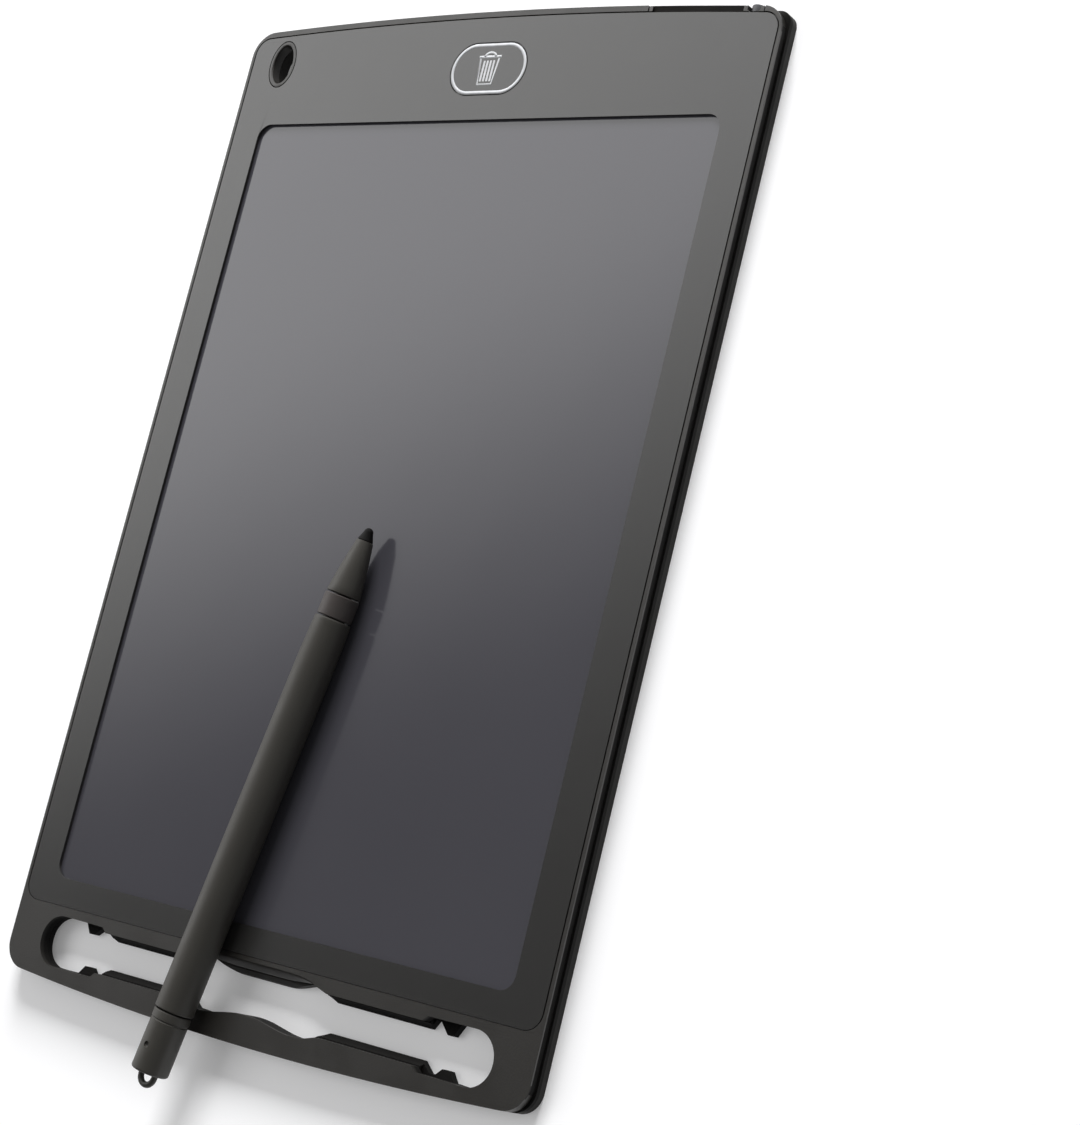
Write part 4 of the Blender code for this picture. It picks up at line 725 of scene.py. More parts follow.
def dress(target, body, look, slot, *nodes):
    """Gives a finished piece its material and its body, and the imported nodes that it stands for."""
    target.data.materials.clear()
    target.data.materials.append(look)
    for face in target.data.polygons:
        face.material_index = 0
    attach(target, body)
    if nodes:
        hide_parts(*nodes)


class Value:
    """A socket's value. An expression on it adds the Math nodes that work it out."""

    def __init__(self, nodes, socket):
        self.nodes = nodes
        self.socket = socket

    def work(self, operation, *values):
        return self.nodes.add("ShaderNodeMath", {"operation": operation}, dict(enumerate(values)))

    def __add__(self, other):
        return self.work("ADD", self, other)

    def __sub__(self, other):
        return self.work("SUBTRACT", self, other)

    def __rsub__(self, other):
        return self.work("SUBTRACT", other, self)

    def __mul__(self, other):
        return self.work("MULTIPLY", self, other)

    def __truediv__(self, other):
        return self.work("DIVIDE", self, other)

    __radd__ = __add__
    __rmul__ = __mul__

    def most(self, other):
        return self.work("MAXIMUM", self, other)

    def size(self):
        return self.work("ABSOLUTE", self)

    def root(self):
        return self.work("SQRT", self)

    def ramp(self, start, end, low=0.0, high=1.0):
        """Goes smoothly from low to high as the value goes from start to end."""
        settings = {"interpolation_type": "SMOOTHSTEP"}
        return self.nodes.add("ShaderNodeMapRange", settings, dict(enumerate((self, start, end, low, high))))


class Nodes:
    """A node tree that is filled by expressions."""

    def __init__(self, tree):
        self.tree = tree

    def add(self, kind, settings=None, sockets=None, output=0):
        """Adds a node with its settings, then the values or links of its sockets, and gives its output."""
        node = self.tree.nodes.new(kind)
        for name, value in (settings or {}).items():
            setattr(node, name, value)
        for name, value in (sockets or {}).items():
            self.feed(node.inputs[name], value)
        return Value(self, node.outputs[output])

    def feed(self, socket, value):
        if isinstance(value, Value):
            self.tree.links.new(value.socket, socket)
        else:
            socket.default_value = value

    def place(self, output="Object"):
        return self.add("ShaderNodeTexCoord", output=output)

    def axes(self, vector):
        """The three numbers of a vector."""
        whole = self.add("ShaderNodeSeparateXYZ", None, {0: vector})
        return [Value(self, output) for output in whole.socket.node.outputs]

    def ray(self, kind):
        """1 where a ray of this kind arrives."""
        return self.add("ShaderNodeLightPath", output=f"Is {kind} Ray")

    def join(self, x, y, z):
        return self.add("ShaderNodeCombineXYZ", None, {0: x, 1: y, 2: z})

    def shifted(self, vector, location, rotation):
        """The place as seen from a point and a turned set of axes."""
        sockets = {0: vector, 1: location, 2: rotation}
        return self.add("ShaderNodeMapping", {"vector_type": "TEXTURE"}, sockets)

    def noise(self, vector, scale, detail=2.0, roughness=0.5):
        sockets = {"Vector": vector, "Scale": scale, "Detail": detail, "Roughness": roughness}
        return self.add("ShaderNodeTexNoise", None, sockets)

    def cells(self, vector, scale):
        """Distance to the nearest of scattered points."""
        return self.add("ShaderNodeTexVoronoi", None, {"Vector": vector, "Scale": scale})

    def mix(self, share, one, two):
        """A colour between two."""
        colours = [c if isinstance(c, Value) else (*c, 1.0) for c in (one, two)]
        sockets = {0: share, 6: colours[0], 7: colours[1]}
        return self.add("ShaderNodeMix", {"data_type": "RGBA"}, sockets, 2)

    def shades(self, share, colour, low, high):
        """A colour between a darker and a lighter shade of it."""
        return self.mix(share, shaded(colour, low), shaded(colour, high))


class Look(Nodes):
    """A material built round one shader, whose constants are set on its own sockets."""

    def __init__(self, name, constants=None):
        self.material = bpy.data.materials.new(name)
        self.material.use_nodes = True
        super().__init__(self.material.node_tree)
        self.shader = self.tree.nodes["Principled BSDF"]
        for socket, value in (constants or {}).items():
            self.shader.inputs[socket].default_value = value

    def finish(self, colour, roughness, height, depth):
        """Feeds what changes over the surface, and gives the material."""
        bump = self.add("ShaderNodeBump", None, {"Strength": 1.0, "Distance": depth, "Height": height})
        for name, value in (("Base Color", colour), ("Roughness", roughness), ("Normal", bump)):
            self.feed(self.shader.inputs[name], value)
        return self.material


def shaded(colour, factor):
    return tuple(channel * factor for channel in colour)


def groove_painted_shade(x, y, z):
    """Painted shade: the side grooves, and the step of the rear cover behind them, where little light comes,
    are darkened in colour.
    """
    across = (x.size() - (HALF_WIDTH - FRAME_CORNER)).most(0)
    past = (y - TOP_CORNER_Y).most(-1 * y - BOTTOM_CORNER_Y).most(0)
    reach = (across * across + past * past).root()
    side = (across / reach.most(WELD)).ramp(*GROOVE_SHADE_TURN)
    inner = FRAME_CORNER - GROOVE_SHADE_DEPTH
    low, high = GROOVE_SHADE
    heights = z.ramp(low - HOLLOW_FADE, low) * z.ramp(high - 2 * HOLLOW_FADE, high, 1.0, 0.0)
    return side * reach.ramp(inner, inner + HOLLOW_FADE) * heights


def bay_painted_shade(x, y, z):
    """Painted shade on the pen bay's walls, ledges and teeth, but not on its thumb scoop."""
    past = (x.size() - (BAY_HALF_LENGTH - BAY_HALF_WIDTH)).most(0)
    off = y - BAY_Y
    inset = BAY_HALF_WIDTH - (past * past + off * off).root()
    scoop = x.size().ramp(UPPER_LIP_HALF - OVERRUN, UPPER_LIP_HALF, 1.0, 0.0) * off.ramp(0.0, OVERRUN)
    walls = inset.ramp(-2 * HOLLOW_FADE, 0.0) * z.ramp(*BAY_SHADE_TOP, 1.0, 0.0)
    return walls * (1 - scoop)


def moulded_plastic(name, colour, roughness, scale, depth, shine=0.5, patches=1.0, painted_shade_masks=()):
    """Spark-textured plastic: a fine pebbled grain, faint flow marks and patches handled smooth.

    Where the given shade masks fall, its colour is darkened towards the shade tone as painted shade, and
    made rougher.
    """
    look = Look(name, {"Specular IOR Level": shine})
    place = look.place()
    grain = look.cells(place, scale)
    fine = look.noise(place, scale * FINE_GRAIN, *SHARP_NOISE)
    flow = look.noise(look.shifted(place, (0, 0, 0), FLOW_TURN), FLOW_SCALE, *FLOW_NOISE)
    handled = look.noise(place, HANDLED_SCALE, *RICH_NOISE).ramp(*HANDLED_RANGE)
    speck = look.noise(place, scale * SPECK_GRAIN).ramp(*SPECK_RANGE)
    tone = TONE_START + (flow - NOISE_MIDDLE) * (FLOW_TONE * patches) + fine * FINE_TONE + speck * SPECK_TONE
    shade_of = look.shades(tone, colour, *PLASTIC_SHADES)
    gloss = roughness + GLOSS_VARIES * fine - (GLOSS_VARIES * patches) * handled
    axes = look.axes(place)
    # Painted shade: each mask darkens the colour where little light reaches the hollows
    for shade_mask_of in painted_shade_masks:
        painted_shade = shade_mask_of(*axes)
        shade_of = look.mix(painted_shade, shade_of, shaded(colour, PAINTED_SHADE_TONE))
        gloss = gloss + painted_shade * (HOLLOW_ROUGHNESS - roughness)
    return look.finish(shade_of, gloss, grain * GRAIN_HEIGHT + fine * (1 - GRAIN_HEIGHT), depth)


def writing_panel():
    """The liquid crystal film under its clear front: smooth, with a faint ripple and hair-fine rub marks."""
    look = Look("writing_panel", {"IOR": 1.5, "Specular IOR Level": SCREEN_SHINE})
    place = look.place()
    x, y, z = look.axes(place)
    ripple = look.noise(place, RIPPLE_SCALE, *RIPPLE_NOISE)
    along, lean, across = RUB_STRETCH
    rub_lines = look.join(x * along + y * lean, y * across, z)
    rubs = look.noise(rub_lines, RUB_SCALE, *SHARP_NOISE).ramp(*RUB_RANGE)
    film = look.noise(place, FILM_SCALE)
    colour = look.shades(film * 0.5 + ripple * 0.5, SCREEN_COLOUR, *SCREEN_SHADES)
    gloss = SCREEN_ROUGHNESS + rubs * SCREEN_MARKS + ripple * SCREEN_MARKS
    return look.finish(colour, gloss, ripple * RIPPLE_HEIGHT + film * FILM_HEIGHT, SCREEN_RELIEF)


def printed_ink():
    """Screen-printed ink: a fine speckle, worn thinner in places."""
    look = Look("printed_ink")
    place = look.place()
    speckle = look.noise(place, INK_SPECKLE_SCALE, *SHARP_NOISE)
    thin = look.noise(place, INK_WEAR_SCALE).ramp(*INK_WEAR_RANGE)
    colour = look.shades(thin * 0.6 + speckle * 0.4, PRINT_COLOUR, INK_DARK, 1.0)
    return look.finish(colour, INK_ROUGHNESS + speckle * 0.12, speckle, 0.01 * MM)


def turned_metal(name, colour, roughness, centre, axis_turn, mark_scale):
    """Plated or stamped metal with fine marks round an axis."""
    look = Look(name, {"Metallic": 1.0})
    place = look.shifted(look.place(), centre, axis_turn)
    x, y, z = look.axes(place)
    around = (x * x + y * y).root()
    marks = look.noise(look.join(around, z * 0.3, 0.0), mark_scale, *MARK_NOISE)
    stain = look.noise(place, STAIN_SCALE, *SHARP_NOISE)
    tone = look.shades(marks * 0.5 + stain * 0.5, colour, METAL_DARK, 1.0)
    return look.finish(tone, roughness + marks * 0.12 + stain * 0.06, marks, METAL_MARK_DEPTH)


def plain_grain(name, colour, roughness, scale, depth):
    """A small hidden part's surface: one material with its own grain."""
    look = Look(name)
    place = look.place()
    grain = look.noise(place, scale, *RICH_NOISE)
    patch = look.noise(place, scale * PATCH_GRAIN)
    tone = look.shades(grain * 0.6 + patch * 0.4, colour, *GRAIN_SHADES)
    return look.finish(tone, roughness + grain * 0.1, grain, depth)


def striped(name, ground, line, roughness, pitch, share):
    """A film or board with fine even lines along Y under its surface."""
    look = Look(name)
    place = look.place()
    lane = look.axes(place)[0] / pitch
    off_line = (lane.work("FRACT", lane) - 0.5).size()
    stripe = off_line.ramp(share / 2, share / 2 + STRIPE_FADE, 1.0, 0.0)
    weave = look.noise(place, WEAVE_SCALE)
    colour = look.mix(stripe, look.shades(weave, ground, *WEAVE_SHADES), line)
    return look.finish(colour, roughness + weave * 0.08, stripe + weave * 0.2, 0.01 * MM)


shell_look = moulded_plastic(
    "charcoal_shell", SHELL_COLOUR, roughness=0.34, scale=2300.0, depth=0.012 * MM, shine=0.6
)
# The rear cover's plastic, with shade painted into the side grooves and the pen bay
rear_look = moulded_plastic(
    "dull_rear_shell_and_painted_shade",
    REAR_COLOUR,
    roughness=0.55,
    scale=2300.0,
    depth=0.018 * MM,
    shine=0.25,
    painted_shade_masks=(groove_painted_shade, bay_painted_shade),
)
face_look = moulded_plastic(
    "graphite_face", FACE_COLOUR, roughness=0.21, scale=3300.0, depth=0.006 * MM, shine=0.72, patches=0.15
)
stylus_look = moulded_plastic(
    "stylus_plastic", STYLUS_COLOUR, roughness=0.48, scale=2900.0, depth=0.012 * MM
)
collar_look = moulded_plastic(
    "collar_plastic", COLLAR_COLOUR, roughness=0.52, scale=2900.0, depth=0.012 * MM
)
nib_look = moulded_plastic(
    "nib_plastic", NIB_COLOUR, roughness=0.5, scale=4200.0, depth=0.006 * MM, shine=0.15, patches=0.5
)
screen_look = writing_panel()
print_look = printed_ink()
screw_place = (SCREW_X, TOP, SCREW_Z)
screw_look = turned_metal("screw_steel", SCREW_COLOUR, 0.42, screw_place, (math.pi / 2, 0, 0), 5200.0)


def shape_group(name, inputs, kinds, links):
    """A Geometry Nodes group that ends in Realize Instances and Set Material, and its nodes by name.

    A link is a node, its output, the node that it goes to and the input there.
    """
    group = bpy.data.node_groups.new(name, "GeometryNodeTree")
    group.interface.new_socket("Geometry", in_out="OUTPUT", socket_type="NodeSocketGeometry")
    for label, kind in {**inputs, "Material": "Material"}.items():
        group.interface.new_socket(label, in_out="INPUT", socket_type="NodeSocket" + kind)
    ends = {
        "given": "NodeGroupInput",
        "realize": "GeometryNodeRealizeInstances",
        "finish": "GeometryNodeSetMaterial",
        "result": "NodeGroupOutput",
    }
    nodes = {label: group.nodes.new(kind) for label, kind in {**ends, **kinds}.items()}
    for source, output, target, entry in (
        *links,
        ("realize", "Geometry", "finish", "Geometry"),
        ("given", "Material", "finish", "Material"),
        ("finish", "Geometry", "result", "Geometry"),
    ):
        group.links.new(nodes[source].outputs[output], nodes[target].inputs[entry])
    return group, nodes


def spaced_bars():
    """A node group that sets even bars on a line between two points."""
    inputs = {"Count": "Int", "Start": "Vector", "End": "Vector", "Bar Size": "Vector"}
    kinds = {
        "line": "GeometryNodeMeshLine",
        "bar": "GeometryNodeMeshCube",
        "copies": "GeometryNodeInstanceOnPoints",
    }
    links = (
        ("given", "Count", "line", "Count"),
        ("given", "Start", "line", "Start Location"),
        ("given", "End", "line", "Offset"),
        ("given", "Bar Size", "bar", "Size"),
        ("line", "Mesh", "copies", "Points"),
        ("bar", "Mesh", "copies", "Instance"),
        ("copies", "Instances", "realize", "Geometry"),
    )
    group, nodes = shape_group("Spaced bars", inputs, kinds, links)
    nodes["line"].mode = "END_POINTS"
    return group


def swept_line():
    """A node group that sweeps a flat strip along the edges of a mesh."""
    inputs = {"Geometry": "Geometry", "Width": "Float", "Thickness": "Float"}
    kinds = {
        "path": "GeometryNodeMeshToCurve",
        "strip": "GeometryNodeCurvePrimitiveQuadrilateral",
        "sweep": "GeometryNodeCurveToMesh",
    }
    links = (
        ("given", "Geometry", "path", "Mesh"),
        ("given", "Width", "strip", "Width"),
        ("given", "Thickness", "strip", "Height"),
        ("path", "Curve", "sweep", "Curve"),
        ("strip", "Curve", "sweep", "Profile Curve"),
        ("sweep", "Mesh", "realize", "Geometry"),
    )
    group, nodes = shape_group("Swept line", inputs, kinds, links)
    nodes["sweep"].inputs["Fill Caps"].default_value = True
    return group


def grown(name, group, values, mesh=None):
    """The plain mesh that a node group makes, its inputs set by their identifiers."""
    source = add(name, mesh or bpy.data.meshes.new(name))
    modifier = source.modifiers.new(group.name, "NODES")
    modifier.node_group = group
    for item in group.interface.items_tree:
        if item.in_out == "INPUT" and item.name in values:
            modifier[item.identifier] = values[item.name]
    made = evaluated_mesh(source)
    bpy.data.objects.remove(source)
    weld(made, outwards=True)
    return add(name, made)


BARS = spaced_bars()
SWEPT = swept_line()


def bars(name, count, start, end, size, look):
    """Even bars from a first to a last centre."""
    values = {"Count": count, "Start": start, "End": end, "Bar Size": size, "Material": look}
    return grown(name, BARS, values)


def print_strip(name, points, closed, width, level):
    """A printed line along a line of points."""
    mesh = bpy.data.meshes.new(name)
    edges = [(corner, corner + 1) for corner in range(len(points) - 1)]
    if closed:
        edges.append((len(points) - 1, 0))
    mesh.from_pydata([(x, y, level) for x, y in points], edges, [])
    return grown(name, SWEPT, {"Width": width, "Thickness": PRINT_THICKNESS, "Material": print_look}, mesh)


def merged(name, pieces):
    """One object from the meshes of several."""
    work = bmesh.new()
    for piece in pieces:
        work.from_mesh(piece.data)
        bpy.data.objects.remove(piece)
    return solid(name, work, outwards=False)


def cap_room(low):
    """The space in the tablet's top edge that the battery tray's end cap takes, with its gap."""
    room = box_outline(CAP_LEFT - CAP_GAP, CAP_RIGHT + CAP_GAP, CAP_INNER - CAP_GAP, TOP + OVERRUN)
    return prism("cap_room", [room], low, FRONT + OVERRUN)


def thumb_scoop():
    """A cutter that slopes from the rear lip of the pen bay up to a rolled edge beside the faceplate."""
    slope = math.sqrt((FRONT - SCOOP_LOW + SCOOP_ROLL) ** 2 - SCOOP_ROLL**2) / SCOOP_RUN
    lengths = [SCOOP_RUN * (step / LIP_STEPS) ** 2 for step in range(LIP_STEPS + 1)] + [SCOOP_RUN + OVERRUN]
    heights = [FRONT - WELD - math.hypot(length * slope, SCOOP_ROLL) + SCOOP_ROLL for length in lengths]
    work = bmesh.new()
    low = []
    high = []
    for step in range(-LIP_STEPS, LIP_STEPS + 1):
        share = step / LIP_STEPS
        crest = BAY_Y + BAY_HALF_WIDTH + SCOOP_REACH * (1 - share**SCOOP_FULLNESS)
        places = [(UPPER_LIP_HALF * share, crest - length) for length in lengths]
        low.append([work.verts.new((*place, height)) for place, height in zip(places, heights)])
        high.append([work.verts.new((*place, FRONT + OVERRUN)) for place in places])
    for grid in (low, high):
        for one, two in zip(grid, grid[1:]):
            bridge(work, one, two)
    for end in (0, -1):
        bridge(work, low[end], high[end])
        bridge(work, [row[end] for row in low], [row[end] for row in high])
    return solid("thumb_scoop", work)


def bay_end_cutters():
    """Thins the teeth from above, and flares the pen bay's round ends towards the back."""
    reach = BAY_HALF_WIDTH + TOOTH_RELIEF
    flare_top = BAY_END_FLARE + OVERRUN
    flare = [
        (0, flare_top),
        (BAY_HALF_WIDTH - OVERRUN, flare_top),
        (BAY_HALF_WIDTH + flare_top, -OVERRUN),
        (0, -OVERRUN),
    ]
    beyond = UPPER_LEFT_TOOTH[0] + UPPER_LEFT_TOOTH[1] + TOOTH_RUN
    cutters = []
    for side, name in ((1, "right"), (-1, "left")):
        ends = sorted((side * (LEDGE_END + TROUGH_END_SLOPE / 2), side * beyond))
        box = (*ends, BAY_Y - reach, BAY_Y + reach, TOOTH_THICKNESS, REAR_DEPTH + OVERRUN)
        cutters.append(block(f"{name}_tooth_relief", *box))
        place = Matrix.Translation((side * (BAY_HALF_LENGTH - BAY_HALF_WIDTH), BAY_Y, 0))
        turn = Matrix.Rotation(math.pi / HOLE_STEPS, 4, "Z")
        cutters.append(turned(f"{name}_bay_flare", flare, place @ turn, HOLE_STEPS))
    return cutters


def rear_cover():
    cover = prism("rear_cover_shell", [tablet_outline(REAR_TOP_CORNER, REAR_BOTTOM_CORNER)], 0, REAR_DEPTH)
    round_edges(cover, REAR_EDGE_ROUND, ROUND_STEPS + 1, lambda a, b: max(a.z, b.z) < REAR_DEPTH / 2)
    sides = (HALF_WIDTH - REAR_WALL, TOP - REAR_WALL, FACEPLATE_BOTTOM + REAR_WALL)
    pocket = outline(*sides, FRAME_CORNER - REAR_WALL, TOP_BOW - REAR_WALL)
    cut(cover, prism("rear_pocket", [pocket], REAR_FLOOR, REAR_DEPTH + OVERRUN))
    root = REAR_FLOOR / 2
    rise = RIB_TOP - root
    middle = (root + RIB_TOP) / 2
    cross_middle = (CROSS_RIB_LOW + CROSS_RIB_HIGH) / 2
    ends = [(x, cross_middle, middle) for x in (-LONG_RIB_X, LONG_RIB_X)]
    size = (RIB_WIDTH, LONG_RIB_REACH * 2 - OVERRUN, rise)
    long_ribs = bars("long_ribs", LONG_RIBS, *ends, size, shell_look)
    ends = [(0, y, middle) for y in (CROSS_RIB_LOW, CROSS_RIB_HIGH)]
    cross_ribs = bars("cross_ribs", CROSS_RIBS, *ends, (CROSS_RIB_REACH * 2, RIB_WIDTH, rise), shell_look)
    post = [
        (0, BOARD_PIN_TOP),
        (BOARD_PIN_RADIUS, BOARD_PIN_TOP),
        (BOARD_PIN_RADIUS, BOARD_SEAT),
        (BOARD_POST_RADIUS, BOARD_SEAT),
        (BOARD_POST_RADIUS, root),
        (0, root),
    ]
    posts = []
    for number, (x, y) in enumerate(BOARD_PINS):
        posts.append(turned(f"board_post_{number}", post, Matrix.Translation((x, y, 0)), HOLE_STEPS))
    join(cover, prism("lanyard_boss", [lanyard_oval(LANYARD_WALL)], root, REAR_DEPTH), long_ribs, cross_ribs)
    join(cover, *posts)
    upper, upper_left = (
        bay_side(LEDGE_GAP, tooth, UPPER_LIP_HALF, BAY_HALF_WIDTH - UPPER_LIP_GAP, UPPER_LIP_FLAT_SHARE)
        for tooth in (UPPER_RIGHT_TOOTH, UPPER_LEFT_TOOTH)
    )
    lower = bay_side(LEDGE_GAP, LOWER_TOOTH, LOWER_LIP_HALF, LOWER_LIP_REACH)
    reach = LEDGE_END + TROUGH_END_SLOPE
    cut(
        cover,
        prism("rear_bay", [bay_outline(upper, lower, upper_left)], -OVERRUN, REAR_DEPTH + OVERRUN),
        rod("pen_trough", TROUGH_GAP / 2, (-reach, BAY_Y, TROUGH_HEIGHT), TO_RIGHT, 2 * reach),
        thumb_scoop(),
        *bay_end_cutters(),
        prism("rear_hole", [lanyard_oval(0)], -OVERRUN, REAR_DEPTH + OVERRUN),
        cap_room(REAR_FLOOR),
    )
    shade(cover)
    dress(cover, "tablet", rear_look, "shell", "rear_cover")


def front_frame():
    climb = (FRAME_LOW + SCOOP_EDGE - SCOOP_LOW) / (FRONT - SCOOP_LOW)
    lip_reach = BAY_HALF_WIDTH - UPPER_LIP_GAP - SCOOP_RUN * climb
    upper = bay_side(TROUGH_GAP, (), UPPER_LIP_HALF, lip_reach, UPPER_LIP_FLAT_SHARE)
    lower = bay_side(TROUGH_GAP, (), LOWER_LIP_HALF, LOWER_LIP_REACH)
    loops = [tablet_outline(FRAME_CORNER, FRAME_CORNER), bay_outline(upper, lower)]
    shell = prism("front_frame_shell", loops, FRAME_LOW, FRONT)

    def weight_of(a, b):
        if min(a.z, b.z) < (FRAME_LOW + FRONT) / 2:
            return 0
        beside_bay = abs(a.y - BAY_Y) < BAY_HALF_WIDTH + BAY_EDGE_ROUND
        in_bay = beside_bay and abs(a.x) < BAY_HALF_LENGTH + BAY_EDGE_ROUND
        return 1 if in_bay else RIM_EDGE_ROUND / BAY_EDGE_ROUND

    round_edges(shell, BAY_EDGE_ROUND, ROUND_STEPS, weight_of)
    sides = (HALF_WIDTH - RIM_WIDTH - SHELF_WIDTH, TOP - TOP_BAND, FACEPLATE_BOTTOM + RIM_WIDTH)
    inside = outline(*sides, SHELF_CORNER, TOP_BOW - TOP_BAND)
    cutters = [
        thumb_scoop(),
        prism("frame_inside", [inside], FRAME_LOW - OVERRUN, FRONT + OVERRUN),
        prism("faceplate_recess", [plate_outline(0, 0)], SHELF_TOP, FRONT + OVERRUN),
    ]
    for side in (1, -1):
        groove = [(side * x, y) for x, y in side_groove()]
        cutters.append(prism(f"side_groove_{side}", [groove], FRAME_LOW - OVERRUN, FRONT - SIDE_LIP_HEIGHT))
    cut(shell, *cutters)
    low = FRAME_LOW + SEAM_GAP / 2
    hole_x, hole_y = LANYARD
    half_hole = LANYARD_HOLE[1] / 2
    web = (RIM_WIDTH + SHELF_WIDTH / 2 - HALF_WIDTH, hole_x, hole_y - half_hole, hole_y + half_hole)
    boss_start = CAP_INNER - CAP_GAP - BOSS_LENGTH
    boss = (SCREW_X - BOSS_WIDTH / 2, SCREW_X + BOSS_WIDTH / 2, boss_start, CAP_INNER)
    join(
        shell,
        block("lanyard_web", *web, SHELF_TOP - LANYARD_WEB, SHELF_TOP),
        lanyard_tube(low),
        block("screw_boss", *boss, low, SHELF_TOP - SEAM_GAP / 2),
    )
    bore = SCREW_SHANK_RADIUS + SCREW_BORE_GAP
    half_passage = TRAY_HALF_WIDTH + TRAY_SIDE_GAP
    passage = (CELL[0] - half_passage, CELL[0] + half_passage, WINDOW_TOP, TOP + OVERRUN)
    cut(
        shell,
        lanyard_cutter(),
        rod("boss_bore", bore, (SCREW_X, boss_start - OVERRUN, SCREW_Z), TO_TOP, BORE_REACH + OVERRUN),
        block("tray_passage", *passage, FRAME_LOW - OVERRUN, TRAY_TOP + TRAY_HEADROOM),
        cap_room(FRAME_LOW - OVERRUN),
    )
    shade(shell)
    dress(shell, "tablet", shell_look, "shell", "front_frame")
    paint_hollow_shade(shell)


def paint_hollow_shade(shell):
    """Gives the front frame's grooves and pen bay walls the rear cover's darker, duller plastic and its
    painted shade, where shade falls.
    """
    shell.data.materials.append(rear_look)
    for face in shell.data.polygons:
        x, y, z = face.center
        in_groove = WELD < HALF_WIDTH - abs(x) < GROOVE_SHADE_DEPTH and z < GROOVE_SHADE[1]
        past = max(abs(x) - BAY_HALF_LENGTH + BAY_HALF_WIDTH, 0)
        in_bay = math.hypot(past, y - BAY_Y) < BAY_HALF_WIDTH and z < FRONT - BAY_EDGE_ROUND / 2
        in_scoop = y > BAY_Y and abs(x) < UPPER_LIP_HALF
        face.material_index = 1 if in_groove or in_bay and not in_scoop else 0


def lanyard_tube(low):
    """The ring round the lanyard hole, its outer top edge rounded."""
    tube = prism("lanyard_tube", [lanyard_oval(LANYARD_WALL)], low, FRONT)
    round_edges(tube, LANYARD_ROUND / 2, ROUND_STEPS, lambda a, b: min(a.z, b.z) > (low + FRONT) / 2)
    return tube


def lanyard_cutter():
    """The lanyard hole with a flared mouth at the front."""
    mouth = FRONT - LANYARD_ROUND
    levels = [(FRAME_LOW - OVERRUN, 0), (mouth, 0)]
    for step in range(1, ROUND_STEPS + 1):
        turn = math.pi / 2 * step / ROUND_STEPS
        levels.append((mouth + LANYARD_ROUND * math.sin(turn), LANYARD_ROUND * (1 - math.cos(turn))))
    levels.append((FRONT + OVERRUN, LANYARD_ROUND))
    work = bmesh.new()
    rings = [[work.verts.new((x, y, height)) for x, y in lanyard_oval(flare)] for height, flare in levels]
    for one, two in zip(rings, rings[1:]):
        bridge(work, one, two, True)
    work.faces.new(rings[0])
    work.faces.new(rings[-1])
    return solid("lanyard_cutter", work)


def faceplate():
    loops = [plate_outline(FACEPLATE_GROOVE, FACEPLATE_LOW_GROOVE), window_outline(0)]
    loops += [key_outline(KEY_GAP), lanyard_oval(LANYARD_WALL + LANYARD_GAP)]
    plate = prism("faceplate_skin", loops, FACEPLATE_LOW, FRONT)

    def weight_of(a, b):
        if min(a.z, b.z) < (FACEPLATE_LOW + FRONT) / 2:
            return 0
        beside_window = WINDOW_BOTTOM - WELD < a.y < WINDOW_TOP + WELD
        at_window = beside_window and abs(a.x) < WINDOW_HALF_WIDTH + WINDOW_EDGE
        return 1 if at_window else FACEPLATE_EDGE / WINDOW_EDGE

    round_edges(plate, WINDOW_EDGE, ROUND_STEPS, weight_of)
    shade(plate)
    dress(plate, "tablet", face_look, "faceplate", "faceplate")


def screen():
    loop = moved(window_outline(PANEL_BORDER, PANEL_CORNER), -WINDOW_X, 0)
    panel = prism("writing_panel", [loop], PANEL_LOW, PANEL_TOP)
    round_edges(panel, PANEL_EDGE, 2, lambda a, b: 1)
    shade(panel)
    dress(panel, "tablet", screen_look, "screen", "lcd_panel")


def erase_key():
    key = prism("erase_key_cap", [key_outline(0)], (KEY_FLANGE_LOW + KEY_FLANGE_TOP) / 2, FRONT)
    round_edges(key, KEY_EDGE, ROUND_STEPS, lambda a, b: min(a.z, b.z) > (KEY_FLANGE_TOP + FRONT) / 2)
    boss_length = KEY_FLANGE_LOW - KEY_BOSS_LOW + SEAM_GAP
    join(
        key,
        prism("key_flange", [key_outline(KEY_FLANGE)], KEY_FLANGE_LOW, KEY_FLANGE_TOP),
        rod("key_boss", KEY_BOSS_RADIUS, (0, KEY_Y, KEY_BOSS_LOW), TO_FRONT, boss_length),
    )
    shade(key)
    dress(key, "key", face_look, "faceplate", "erase_key")


